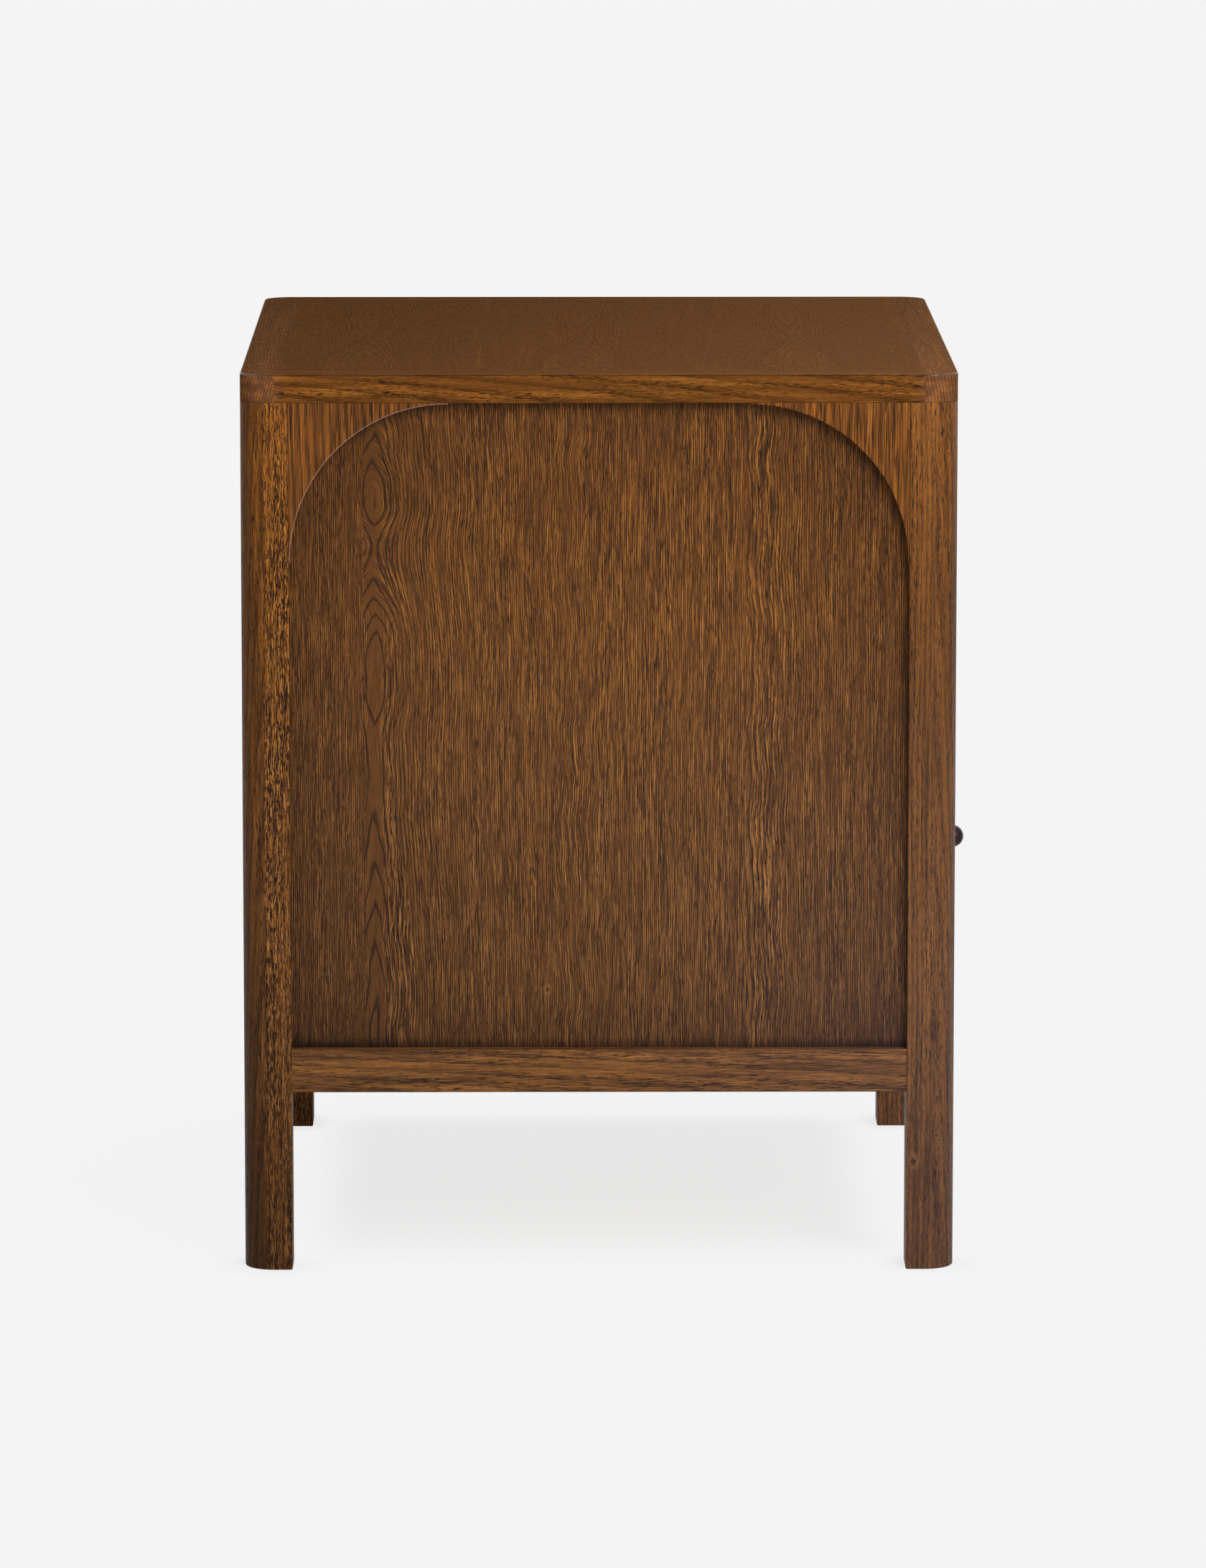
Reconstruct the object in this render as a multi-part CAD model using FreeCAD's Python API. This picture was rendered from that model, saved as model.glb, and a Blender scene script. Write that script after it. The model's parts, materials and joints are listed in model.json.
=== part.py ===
import FreeCAD, Part
import math
import os

from FreeCAD import Vector

# A nightstand in stained oak: four legs with one round corner each, recessed side panels under an arch,
# an open cubby, and below it one drawer on telescopic slides. The front faces -Y, +Z is up, and the
# origin is on the floor below the middle of the whole, knob included. All sizes are in millimetres.

# Case, overall
case_width = 508.0
case_depth = 457.0
case_height = 580.0

# Top slab: veneered board with solid lippings
top_thickness = 18.4
top_lipping_width = 22.0
top_upper_chamfer = 0.9
top_lower_chamfer = 0.3
corner_radius = 18.5

# Legs and rails
leg_size = 31.0
leg_arris = 0.4
foot_chamfer = 0.8
rail_height = 27.8
rail_bottom = 116.4
rail_setback = 1.0
rail_arris = 0.4
tenon_length = 12.0
tenon_thickness = 8.0
tenon_inset = 7.0
tenon_shoulder = 4.0

# Panels between the legs
panel_setback = 10.0
back_thickness = 12.0
tongue_depth = 6.0
tongue_thickness = 7.0
tongue_inset = 12.0

# Arch spandrels
arch_radius = 101.0
arch_tip = 0.8
arch_arris = 0.4
front_spandrel_thickness = 21.0

# Case bottom, resting in rebates of the rails
bottom_thickness = 12.0
bottom_rebate = 6.0

# Shelf between cubby and drawer
shelf_thickness = 18.0
shelf_lipping_width = 10.0
shelf_arris = 0.5

# Wooden dowels
dowel_radius = 4.0
dowel_length = 24.0
spandrel_dowel_radius = 3.0
spandrel_dowel_length = 18.0
spandrel_dowel_drop = 30.0
side_dowel_inset = 16.5

# Drawer face
face_gap = 2.0
face_height = 191.6
face_thickness = 20.0
face_setback = 10.0
face_arris = 0.8

# Drawer box
box_back_gap = 45.0
box_height = 135.0
box_lift = 16.0
box_wall = 12.0
box_bottom_thickness = 6.0
box_bottom_lift = 10.0
box_groove_depth = 6.0
tail_count = 4
tail_share = 0.62
tail_slope_share = 1.0 / 6.0

# Telescopic slides, one each side of the drawer
slide_depth = 12.7
slide_height = 45.0
slide_sheet = 1.2
slide_bend = 1.2
slide_gap = 0.5
slide_lip = 3.5
slide_mouth = 1.7
slide_front_gap = 2.0
slide_back_gap = 8.0
slide_screw_shares = (0.1, 0.5, 0.9)
slide_hole_radius = 2.3
slide_access_radius = 4.6

# Turned knob
knob_length = 27.0
knob_ball_radius = 7.5
knob_neck_radius = 3.6
knob_base_radius = 7.0
knob_base_height = 2.0
knob_cove_height = 5.5
knob_crown_radius = 1.2
knob_thread_depth = 10.0

# Screws
slide_screw_radius = 1.9
slide_screw_head_radius = 3.5
slide_screw_head_height = 1.8
case_screw_length = 15.0
drawer_screw_length = 10.0
wood_screw_radius = 2.0
wood_screw_head_radius = 4.0
wood_screw_head_height = 2.4
face_screw_length = 25.0
back_screw_length = 35.0
bottom_screw_length = 24.0
knob_screw_radius = 2.0
tip_share = 0.4
crown_share = 0.7

# Flat sides that stand for round ones, on small pieces and their holes, and on the knob
round_sides = 10
knob_sides = 24
knob_ball_steps = 9
knob_cove_steps = 4

# Fits
joint_clearance = 0.1
dowel_clearance = 0.15
screw_clearance = 0.15
overrun = 2.0

# Where the screws and dowels stand, as shares of the half spans that they follow
shelf_dowel_shares = (-0.75, 0.0, 0.75)
panel_dowel_shares = (-0.7, 0.7)
back_screw_shares = (-0.8, 0.0, 0.8)
face_screw_across_shares = (-0.62, 0.62)
face_screw_up_shares = (0.2, 0.8)
bottom_screw_shares = (-0.7, 0.7)
spandrel_dowel_share = 0.35

# Places worked out from the sizes
half_width = case_width / 2
half_depth = case_depth / 2
knob_reach = knob_length - face_setback
case_y = knob_reach / 2
leg_top = case_height - top_thickness
rail_top = rail_bottom + rail_height
inner_half_width = half_width - leg_size
front_y = case_y - half_depth
back_inner_y = case_y + half_depth - panel_setback - back_thickness
face_bottom = rail_top + face_gap
face_top = face_bottom + face_height
face_front_y = front_y + face_setback
face_back_y = face_front_y + face_thickness
face_half_width = inner_half_width - face_gap
shelf_bottom = face_top + face_gap
shelf_top = shelf_bottom + shelf_thickness
shelf_front_y = front_y + rail_setback
box_half_width = inner_half_width - slide_depth
box_bottom = face_bottom + box_lift
box_top = box_bottom + box_height
box_back_y = back_inner_y - box_back_gap
floor_bottom = box_bottom + box_bottom_lift
floor_top = floor_bottom + box_bottom_thickness
slide_z = box_bottom + box_height / 2
slide_front_y = face_back_y + slide_front_gap
slide_length = box_back_y - slide_back_gap - slide_front_y
knob_z = (face_bottom + face_top) / 2


def box_between(first, second):
    """Box with two opposite corners given."""
    low = Vector(min(first.x, second.x), min(first.y, second.y), min(first.z, second.z))
    high = Vector(max(first.x, second.x), max(first.y, second.y), max(first.z, second.z))
    size = high.sub(low)
    return Part.makeBox(size.x, size.y, size.z, low)


def block(x_span, y_span, z_span):
    """Box from its spans along X, Y and Z."""
    low = Vector(x_span[0], y_span[0], z_span[0])
    high = Vector(x_span[1], y_span[1], z_span[1])
    return box_between(low, high)


def grown(span, amount):
    """A span made longer by an amount at both ends."""
    return (span[0] - amount, span[1] + amount)


def spread(half):
    """The span from minus to plus a half size."""
    return (-half, half)


def fused(shapes):
    """Join shapes that belong to one piece."""
    whole = shapes[0]
    for other in shapes[1:]:
        whole = whole.fuse(other)
    return whole.removeSplitter()


def without(shape, cutters):
    """Take every cutter that reaches a shape out of it."""
    for cutter in cutters:
        if shape.BoundBox.intersect(cutter.BoundBox):
            shape = shape.cut(cutter)
    return shape


def ring(radius, along, sides):
    """Corners of one ring of a turned piece about the Z axis."""
    angles = [2 * math.pi * step / sides for step in range(sides)]
    return [Vector(radius * math.cos(angle), radius * math.sin(angle), along) for angle in angles]


def turned(profile, seat, direction, sides=round_sides):
    """Turned piece with flat sides. Its profile lists each radius and its distance from the seat."""
    rings = [ring(radius, along, sides) for radius, along in profile]
    outlines = [rings[0], rings[-1]]
    for lower, upper in zip(rings, rings[1:]):
        for step in range(sides):
            after = (step + 1) % sides
            outlines.append([lower[step], lower[after], upper[after], upper[step]])
    faces = [Part.Face(Part.makePolygon(outline + outline[:1])) for outline in outlines]
    bar = Part.makeSolid(Part.makeShell(faces))
    if bar.Volume < 0:
        bar = bar.reversed()
    bar.Placement = FreeCAD.Placement(seat, FreeCAD.Rotation(Vector(0, 0, 1), direction))
    return bar


def rod(start, direction, length, radius):
    """Straight bar from a point along a direction."""
    return turned([(radius, 0), (radius, length)], start, direction)


def long_edges(shape, direction, places):
    """Straight edges along a direction that pass through one of the places."""
    found = []
    for edge in shape.Edges:
        if edge.Curve.TypeId != "Part::GeomLine":
            continue
        if edge.Curve.Direction.cross(direction).Length > Part.Precision.angular():
            continue
        if any(is_on(edge, place) for place in places):
            found.append(edge)
    return found


def is_on(edge, place):
    """Whether a place lies on an edge."""
    return edge.distToShape(Part.Vertex(place))[0] < Part.Precision.confusion()


class Wall:
    """One upright side of the case, between two legs."""

    def __init__(self, name, across_x, sign):
        self.name = name
        self.across_x = across_x
        self.sign = sign
        self.reach = half_width if across_x else half_depth
        self.half_run = (half_depth if across_x else half_width) - leg_size

    def point(self, inset, run, height):
        """Point from its inset behind the outer face, its run along the wall and its height."""
        out = self.sign * (self.reach - inset)
        if self.across_x:
            return Vector(out, case_y + run, height)
        return Vector(run, case_y + out, height)

    def box(self, inset_span, run_span, height_span):
        """Box in this wall."""
        first = self.point(inset_span[0], run_span[0], height_span[0])
        second = self.point(inset_span[1], run_span[1], height_span[1])
        return box_between(first, second)

    def inward(self):
        """Direction from the outer face to the inside of the case."""
        return self.point(leg_size, 0, 0).sub(self.point(0, 0, 0)).normalize()

    def along(self):
        """Direction in which the run grows."""
        return self.point(0, leg_size, 0).sub(self.point(0, 0, 0)).normalize()

    def tenons(self, clearance):
        """The two tenons of this wall's rail, or with a clearance their mortises."""
        inset = grown((tenon_inset, tenon_inset + tenon_thickness), clearance)
        height = grown((rail_bottom + tenon_shoulder, rail_top - tenon_shoulder), clearance)
        far = self.half_run + tenon_length + clearance
        return [self.box(inset, (end * self.half_run, end * far), height) for end in (-1, 1)]

    def tongues(self, clearance):
        """The tongues of this wall's panel at its sides and foot, or with a clearance their grooves."""
        inset = grown((tongue_inset, tongue_inset + tongue_thickness), clearance)
        far = self.half_run + tongue_depth + clearance
        upper = leg_top + (overrun if clearance else 0)
        sides = [self.box(inset, (end * self.half_run, end * far), (rail_top, upper)) for end in (-1, 1)]
        foot_low = rail_top - tongue_depth - clearance
        foot = self.box(inset, spread(self.half_run), (foot_low, rail_top))
        return sides + [foot]


left_wall = Wall("left", True, -1)
right_wall = Wall("right", True, 1)
front_wall = Wall("front", False, -1)
back_wall = Wall("back", False, 1)
side_walls = (left_wall, right_wall)
all_walls = (left_wall, right_wall, front_wall, back_wall)
panelled_walls = (left_wall, right_wall, back_wall)
ends = (("front", -1), ("back", 1))


def top_dowel_places():
    """Where dowels stand between the slab and what carries it, at the joint's height."""
    places = []
    for wall in side_walls:
        for _, end in ends:
            places.append(wall.point(leg_size / 2, end * (half_depth - leg_size / 2), leg_top))
        for share in panel_dowel_shares:
            places.append(wall.point(side_dowel_inset, share * wall.half_run, leg_top))
    run = front_wall.half_run - spandrel_dowel_share * arch_radius
    for end in (-1, 1):
        places.append(front_wall.point(front_spandrel_thickness / 2, end * run, leg_top))
    return places


def top_dowels(clearance):
    """Dowels that hold the slab, or with a clearance their holes."""
    length = dowel_length + 2 * clearance
    radius = dowel_radius + clearance
    low = Vector(0, 0, length / 2)
    return [rod(place.sub(low), Vector(0, 0, 1), length, radius) for place in top_dowel_places()]


def spandrel_dowels(clearance):
    """Dowels between the front spandrels and the front legs, or with a clearance their holes."""
    length = spandrel_dowel_length + 2 * clearance
    radius = spandrel_dowel_radius + clearance
    height = leg_top - spandrel_dowel_drop
    rods = []
    for end in (-1, 1):
        run = end * (front_wall.half_run + length / 2)
        start = front_wall.point(front_spandrel_thickness / 2, run, height)
        rods.append(rod(start, Vector(-end, 0, 0), length, radius))
    return rods


def shelf_dowels(clearance):
    """Dowels between the shelf and the side panels, or with a clearance their holes."""
    length = dowel_length + 2 * clearance
    radius = dowel_radius + clearance
    height = (shelf_bottom + shelf_top) / 2
    rods = []
    for wall in side_walls:
        for share in shelf_dowel_shares:
            start = wall.point(leg_size - length / 2, share * wall.half_run, height)
            rods.append(rod(start, wall.inward(), length, radius))
    return rods


def pan_screw(seat, direction, length, radius, head_radius, head_height):
    """Screw whose raised head lies on a seat, its shank pointing along a direction."""
    profile = [(radius * tip_share, length), (radius, length - radius), (radius, 0)]
    profile += [(head_radius, 0), (head_radius * crown_share, -head_height)]
    return turned(profile, seat, direction)


def flat_screw(seat, direction, length, clearance):
    """Countersunk wood screw whose head is level with a seat, or with a clearance its hole."""
    radius = wood_screw_radius + clearance
    head_radius = wood_screw_head_radius + clearance
    far = length + clearance
    profile = [(radius * tip_share, far), (radius, far - radius)]
    profile += [(radius, head_radius - radius), (head_radius, 0)]
    return turned(profile, seat, direction)


def back_screws(clearance):
    """Countersunk screws through the back panel into the shelf, or with a clearance their holes."""
    height = (shelf_bottom + shelf_top) / 2
    screws = []
    for share in back_screw_shares:
        seat = back_wall.point(panel_setback, share * back_wall.half_run, height)
        screws.append(flat_screw(seat, back_wall.inward(), back_screw_length, clearance))
    return screws


def bottom_screws(clearance):
    """Countersunk screws through the case bottom into the rails, or with a clearance their holes."""
    screws = []
    for wall in all_walls:
        for share in bottom_screw_shares:
            seat = wall.point(leg_size - bottom_rebate / 2, share * wall.half_run, rail_top)
            screws.append(flat_screw(seat, Vector(0, 0, -1), bottom_screw_length, clearance))
    return screws


def make_slab():
    """The whole top slab, before it is parted into board and lippings."""
    slab = block(spread(half_width), (front_y, front_y + case_depth), (leg_top, case_height))
    corners = [wall.point(0, end * half_depth, leg_top) for wall in side_walls for _, end in ends]
    slab = slab.makeFillet(corner_radius, long_edges(slab, Vector(0, 0, 1), corners))
    upper = [edge for edge in slab.Edges if edge.BoundBox.ZMin > case_height - Part.Precision.confusion()]
    slab = slab.makeChamfer(top_upper_chamfer, upper)
    lower = [edge for edge in slab.Edges if edge.BoundBox.ZMax < leg_top + Part.Precision.confusion()]
    return slab.makeChamfer(top_lower_chamfer, lower)


def make_top():
    """Centre board and four lippings of the top."""
    slab = without(make_slab(), top_dowels(dowel_clearance))
    full_height = grown((leg_top, case_height), overrun)
    board_x = spread(half_width - top_lipping_width)
    board_y = (front_y + top_lipping_width, front_y + case_depth - top_lipping_width)
    wide_x = spread(half_width + overrun)
    wide_y = grown((front_y, front_y + case_depth), overrun)
    areas = {
        "top_board": (board_x, board_y),
        "top_lipping_front": (wide_x, (wide_y[0], board_y[0])),
        "top_lipping_back": (wide_x, (board_y[1], wide_y[1])),
        "top_lipping_left": ((wide_x[0], board_x[0]), board_y),
        "top_lipping_right": ((board_x[1], wide_x[1]), board_y),
    }
    return {name: slab.common(block(*area, full_height)) for name, area in areas.items()}


def make_leg(wall, end):
    """Leg with its round outer corner, mortises, grooves and dowel holes."""
    outer_run = end * (wall.half_run + leg_size)
    inner_run = end * wall.half_run
    leg = wall.box((0, leg_size), (inner_run, outer_run), (0, leg_top))
    outer = [wall.point(0, outer_run, leg_top)]
    leg = leg.makeFillet(corner_radius, long_edges(leg, Vector(0, 0, 1), outer))
    foot = [edge for edge in leg.Edges if edge.BoundBox.ZMax < Part.Precision.confusion()]
    leg = leg.makeChamfer(foot_chamfer, foot)
    arrises = [wall.point(0, inner_run, leg_top), wall.point(leg_size, outer_run, leg_top)]
    arrises.append(wall.point(leg_size, inner_run, leg_top))
    leg = leg.makeChamfer(leg_arris, long_edges(leg, Vector(0, 0, 1), arrises))
    cutters = top_dowels(dowel_clearance) + spandrel_dowels(dowel_clearance)
    for each in all_walls:
        cutters += each.tenons(joint_clearance)
    for each in panelled_walls:
        cutters += each.tongues(joint_clearance)
    return without(leg, cutters)


def make_rail(wall):
    """Bottom rail with a tenon at each end, a rebate for the case bottom and a groove for the panel."""
    inset = (rail_setback, leg_size)
    bar = wall.box(inset, spread(wall.half_run), (rail_bottom, rail_top))
    arrises = [wall.point(rail_setback, 0, rail_bottom), wall.point(rail_setback, 0, rail_top)]
    arrises.append(wall.point(leg_size, 0, rail_bottom))
    bar = bar.makeChamfer(rail_arris, long_edges(bar, wall.along(), arrises))
    bar = fused([bar] + wall.tenons(0))
    rebate = wall.box(
        (leg_size - bottom_rebate - joint_clearance, leg_size + overrun),
        spread(wall.half_run + overrun),
        (rail_top - bottom_thickness, rail_top + overrun),
    )
    cutters = [rebate] + bottom_screws(screw_clearance)
    if wall in panelled_walls:
        cutters += wall.tongues(joint_clearance)
    return without(bar, cutters)


def make_case_bottom():
    """Board that closes the case under the drawer, notched round the legs."""
    lap = bottom_rebate
    x_span = spread(inner_half_width + lap)
    y_span = (front_y + leg_size - lap, front_y + case_depth - leg_size + lap)
    board = block(x_span, y_span, (rail_top - bottom_thickness, rail_top))
    for wall in side_walls:
        for _, end in ends:
            run = (end * (wall.half_run - joint_clearance), end * (wall.half_run + leg_size))
            notch = wall.box((0, leg_size + joint_clearance), run, (0, leg_top))
            board = board.cut(notch)
    return without(board, bottom_screws(screw_clearance))


def make_side_panel(wall):
    """Side panel, flush with the legs on the inside, with tongues at its sides and foot."""
    body = wall.box((panel_setback, leg_size), spread(wall.half_run), (rail_top, leg_top))
    panel = fused([body] + wall.tongues(0))
    cutters = top_dowels(dowel_clearance) + shelf_dowels(dowel_clearance)
    return without(panel, cutters + slide_case_screws(screw_clearance))


def make_back_panel():
    """Back panel with tongues at its sides and foot."""
    inset = (panel_setback, panel_setback + back_thickness)
    body = back_wall.box(inset, spread(back_wall.half_run), (rail_top, leg_top))
    return without(fused([body] + back_wall.tongues(0)), back_screws(screw_clearance))


def make_spandrel(wall, end, thickness):
    """Corner piece under the slab whose concave edge is a quarter of the arch."""
    side = arch_radius + arch_tip
    rise = arch_radius / math.sqrt(2)

    def place(run, drop):
        return wall.point(0, end * (wall.half_run - run), leg_top - drop)

    corner = place(0, 0)
    upper = place(side, 0)
    tip = place(side, arch_tip)
    middle = place(side - rise, side - rise)
    foot = place(arch_tip, side)
    heel = place(0, side)
    edges = [Part.makeLine(corner, upper), Part.makeLine(upper, tip), Part.Arc(tip, middle, foot).toShape()]
    edges += [Part.makeLine(foot, heel), Part.makeLine(heel, corner)]
    piece = Part.Face(Part.Wire(edges)).extrude(wall.inward().multiply(thickness))
    piece = piece.makeChamfer(arch_arris, [edge for edge in piece.Edges if is_on(edge, middle)])
    return without(piece, top_dowels(dowel_clearance) + spandrel_dowels(dowel_clearance))


def make_shelf():
    """Shelf board and the solid lipping along its front edge."""
    lipping_back_y = shelf_front_y + shelf_lipping_width
    height = (shelf_bottom, shelf_top)
    board = block(spread(inner_half_width), (lipping_back_y, back_inner_y), height)
    board = without(board, shelf_dowels(dowel_clearance) + back_screws(screw_clearance))
    lipping = block(spread(inner_half_width), (shelf_front_y, lipping_back_y), height)
    arrises = [Vector(0, shelf_front_y, shelf_bottom), Vector(0, shelf_front_y, shelf_top)]
    lipping = lipping.makeChamfer(shelf_arris, long_edges(lipping, Vector(1, 0, 0), arrises))
    return {"shelf": board, "shelf_lipping": lipping}


def face_screws(clearance):
    """Screws through the drawer's box front into its face, or with a clearance their holes."""
    seat_y = face_back_y + box_wall
    length = face_screw_length + clearance
    radius = wood_screw_radius + clearance
    head = (wood_screw_head_radius, wood_screw_head_height)
    screws = []
    for across in face_screw_across_shares:
        for up in face_screw_up_shares:
            seat = Vector(across * box_half_width, seat_y, box_bottom + up * box_height)
            screws.append(pan_screw(seat, Vector(0, -1, 0), length, radius, *head))
    return screws


def knob_screw(clearance):
    """Machine screw from inside the drawer into the knob, or with a clearance its hole."""
    seat = Vector(0, face_back_y + box_wall, knob_z)
    length = box_wall + face_thickness + knob_thread_depth + clearance
    radius = knob_screw_radius + clearance
    head = (wood_screw_head_radius, wood_screw_head_height)
    return pan_screw(seat, Vector(0, -1, 0), length, radius, *head)


def arc_profile(middle, size, angles, steps):
    """Radii and distances along a quarter of an oval, whose angles start square to the axis."""
    profile = []
    for step in range(steps + 1):
        angle = angles[0] + (angles[1] - angles[0]) * step / steps
        profile.append((middle[0] + size[0] * math.cos(angle), middle[1] + size[1] * math.sin(angle)))
    return profile


def make_knob():
    """Turned knob: a flat base, a coved neck and a ball with a small flat crown."""
    neck_angle = math.acos(knob_neck_radius / knob_ball_radius)
    crown_angle = math.acos(knob_crown_radius / knob_ball_radius)
    ball_middle = (0, knob_length - knob_ball_radius * math.sin(crown_angle))
    ball_size = (knob_ball_radius, knob_ball_radius)
    cove_middle = (knob_base_radius, knob_base_height + knob_cove_height)
    cove_size = (knob_base_radius - knob_neck_radius, knob_cove_height)
    profile = [(knob_base_radius, 0)]
    profile += arc_profile(cove_middle, cove_size, (-math.pi / 2, -math.pi), knob_cove_steps)
    profile += arc_profile(ball_middle, ball_size, (-neck_angle, crown_angle), knob_ball_steps)
    knob = turned(profile, Vector(0, face_front_y, knob_z), Vector(0, -1, 0), knob_sides)
    return knob.cut(knob_screw(screw_clearance))


def make_drawer_face():
    """Applied drawer face with softened front edges."""
    face = block(spread(face_half_width), (face_front_y, face_back_y), (face_bottom, face_top))
    front = [edge for edge in face.Edges if edge.BoundBox.YMax < face_front_y + Part.Precision.confusion()]
    face = face.makeChamfer(face_arris, front)
    return without(face, face_screws(screw_clearance) + [knob_screw(screw_clearance)])


def dovetails(side, end, clearance):
    """Tails at one end of a drawer side, or with a clearance the sockets that take them."""
    pitch = box_height / tail_count
    wide = pitch * tail_share / 2 + clearance
    narrow = wide - box_wall * tail_slope_share
    end_y = face_back_y if end < 0 else box_back_y
    root_y = end_y - end * box_wall
    outer_x = side * box_half_width
    tails = []
    for index in range(tail_count):
        middle = box_bottom + (index + 1 / 2) * pitch
        corners = [
            Vector(outer_x, end_y, middle - wide),
            Vector(outer_x, end_y, middle + wide),
            Vector(outer_x, root_y, middle + narrow),
            Vector(outer_x, root_y, middle - narrow),
        ]
        outline = Part.Face(Part.makePolygon(corners + corners[:1]))
        tails.append(outline.extrude(Vector(-side * box_wall, 0, 0)))
    return tails


def drawer_floor(clearance):
    """Plywood bottom of the drawer box, or with a clearance the groove that takes it."""
    lap = box_groove_depth - joint_clearance + clearance
    x_span = spread(box_half_width - box_wall + lap)
    y_span = grown((face_back_y + box_wall, box_back_y - box_wall), lap)
    return block(x_span, y_span, (floor_bottom, floor_top + clearance))


def make_drawer_side(side):
    """Drawer side with tails at both ends."""
    x_span = (side * box_half_width, side * (box_half_width - box_wall))
    body = block(x_span, (face_back_y + box_wall, box_back_y - box_wall), (box_bottom, box_top))
    board = fused([body] + dovetails(side, -1, 0) + dovetails(side, 1, 0))
    cutters = [drawer_floor(joint_clearance)] + slide_drawer_screws(screw_clearance)
    return without(board, cutters)


def make_drawer_end(end):
    """Box front or box back, with the sockets between its pins."""
    outer_y = face_back_y if end < 0 else box_back_y
    board = block(spread(box_half_width), (outer_y, outer_y - end * box_wall), (box_bottom, box_top))
    cutters = [drawer_floor(joint_clearance)]
    for side in (-1, 1):
        cutters += dovetails(side, end, joint_clearance)
    if end < 0:
        cutters += face_screws(screw_clearance) + [knob_screw(screw_clearance)]
    return without(board, cutters)


def bend_points(before, corner, after, offset):
    """Start and end of a sheet's bend at a corner, for a line offset to the left of its middle line."""
    first = corner.sub(before).normalize()
    second = after.sub(corner).normalize()
    reach = slide_bend * math.tan(first.getAngle(second) / 2)
    start = corner - first * reach + Vector(-first.y, first.x, 0) * offset
    end = corner + second * reach + Vector(-second.y, second.x, 0) * offset
    return [start, end]


def strip_line(points, offset):
    """Corners of a line that follows a bent sheet at an offset from its middle line."""
    first = points[1].sub(points[0]).normalize()
    last = points[-1].sub(points[-2]).normalize()
    line = [points[0] + Vector(-first.y, first.x, 0) * offset]
    for before, corner, after in zip(points, points[1:], points[2:]):
        line += bend_points(before, corner, after, offset)
    return line + [points[-1] + Vector(-last.y, last.x, 0) * offset]


def bent_sheet(points, side):
    """Slide member: a steel sheet bent along points, each a distance from the case wall and a height."""
    outline = strip_line(points, slide_sheet / 2) + strip_line(points, -slide_sheet / 2)[::-1]
    corners = []
    for point in outline + outline[:1]:
        corners.append(Vector(side * (inner_half_width - point.x), slide_front_y, slide_z + point.y))
    return Part.Face(Part.makePolygon(corners)).extrude(Vector(0, slide_length, 0))


def channel(web, lip, half_height, lip_length):
    """Middle line of a channel: web and lips at their distances from the case wall, lips turned inwards."""
    lip_height = half_height - lip_length
    upper = [Vector(lip, lip_height, 0), Vector(lip, half_height, 0), Vector(web, half_height, 0)]
    lower = [Vector(point.x, -point.y, 0) for point in reversed(upper)]
    return upper + lower


# Middle lines of the slide members' sheets, as distances from the case wall
cabinet_web = slide_sheet / 2
cabinet_lip = slide_depth - slide_mouth - slide_sheet / 2
cabinet_half = slide_height / 2 - slide_sheet / 2
middle_web = slide_sheet + slide_screw_head_height + slide_gap + slide_sheet / 2
middle_lip = cabinet_lip - slide_sheet - slide_gap
middle_half = cabinet_half - slide_sheet - slide_gap
drawer_web = slide_depth - slide_sheet / 2
drawer_flare = middle_lip - slide_sheet - slide_gap
drawer_half = middle_half + slide_sheet / 2 - slide_lip - slide_gap - slide_sheet / 2
drawer_flare_half = middle_half - slide_sheet / 2 - slide_gap


def slide_places(side, distance):
    """Points on one slide's middle height, at a distance from the case wall, where its screws stand."""
    places = []
    for share in slide_screw_shares:
        x = side * (inner_half_width - distance)
        places.append(Vector(x, slide_front_y + share * slide_length, slide_z))
    return places


def slide_case_screws(clearance):
    """Screws from the cabinet members into the side panels, or with a clearance their holes."""
    radius = slide_screw_radius + clearance
    length = case_screw_length + clearance
    head = (slide_screw_head_radius, slide_screw_head_height)
    screws = []
    for side in (-1, 1):
        for seat in slide_places(side, slide_sheet):
            screws.append(pan_screw(seat, Vector(side, 0, 0), length, radius, *head))
    return screws


def slide_drawer_screws(clearance):
    """Screws from the drawer members into the drawer's sides, or with a clearance their holes."""
    radius = slide_screw_radius + clearance
    length = drawer_screw_length + clearance
    head = (slide_screw_head_radius, slide_screw_head_height)
    screws = []
    for side in (-1, 1):
        for seat in slide_places(side, slide_depth - slide_sheet):
            screws.append(pan_screw(seat, Vector(-side, 0, 0), length, radius, *head))
    return screws


def web_holes(side, radius):
    """Cutters for round holes through the webs of one slide's members."""
    starts = slide_places(side, 0)
    return [rod(start, Vector(-side, 0, 0), slide_depth, radius) for start in starts]


def make_slide(side):
    """Cabinet, middle and drawer member of one slide."""
    lip = slide_lip - slide_sheet / 2
    cabinet = bent_sheet(channel(cabinet_web, cabinet_lip, cabinet_half, lip), side)
    middle = bent_sheet(channel(middle_web, middle_lip, middle_half, lip), side)
    upper = [Vector(drawer_flare, drawer_flare_half, 0), Vector(drawer_flare, drawer_half, 0)]
    upper.append(Vector(drawer_web, drawer_half, 0))
    lower = [Vector(point.x, -point.y, 0) for point in reversed(upper)]
    drawer = bent_sheet(upper + lower, side)
    screw_holes = web_holes(side, slide_hole_radius)
    return (
        without(cabinet, screw_holes),
        without(middle, web_holes(side, slide_access_radius)),
        without(drawer, screw_holes),
    )


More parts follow.
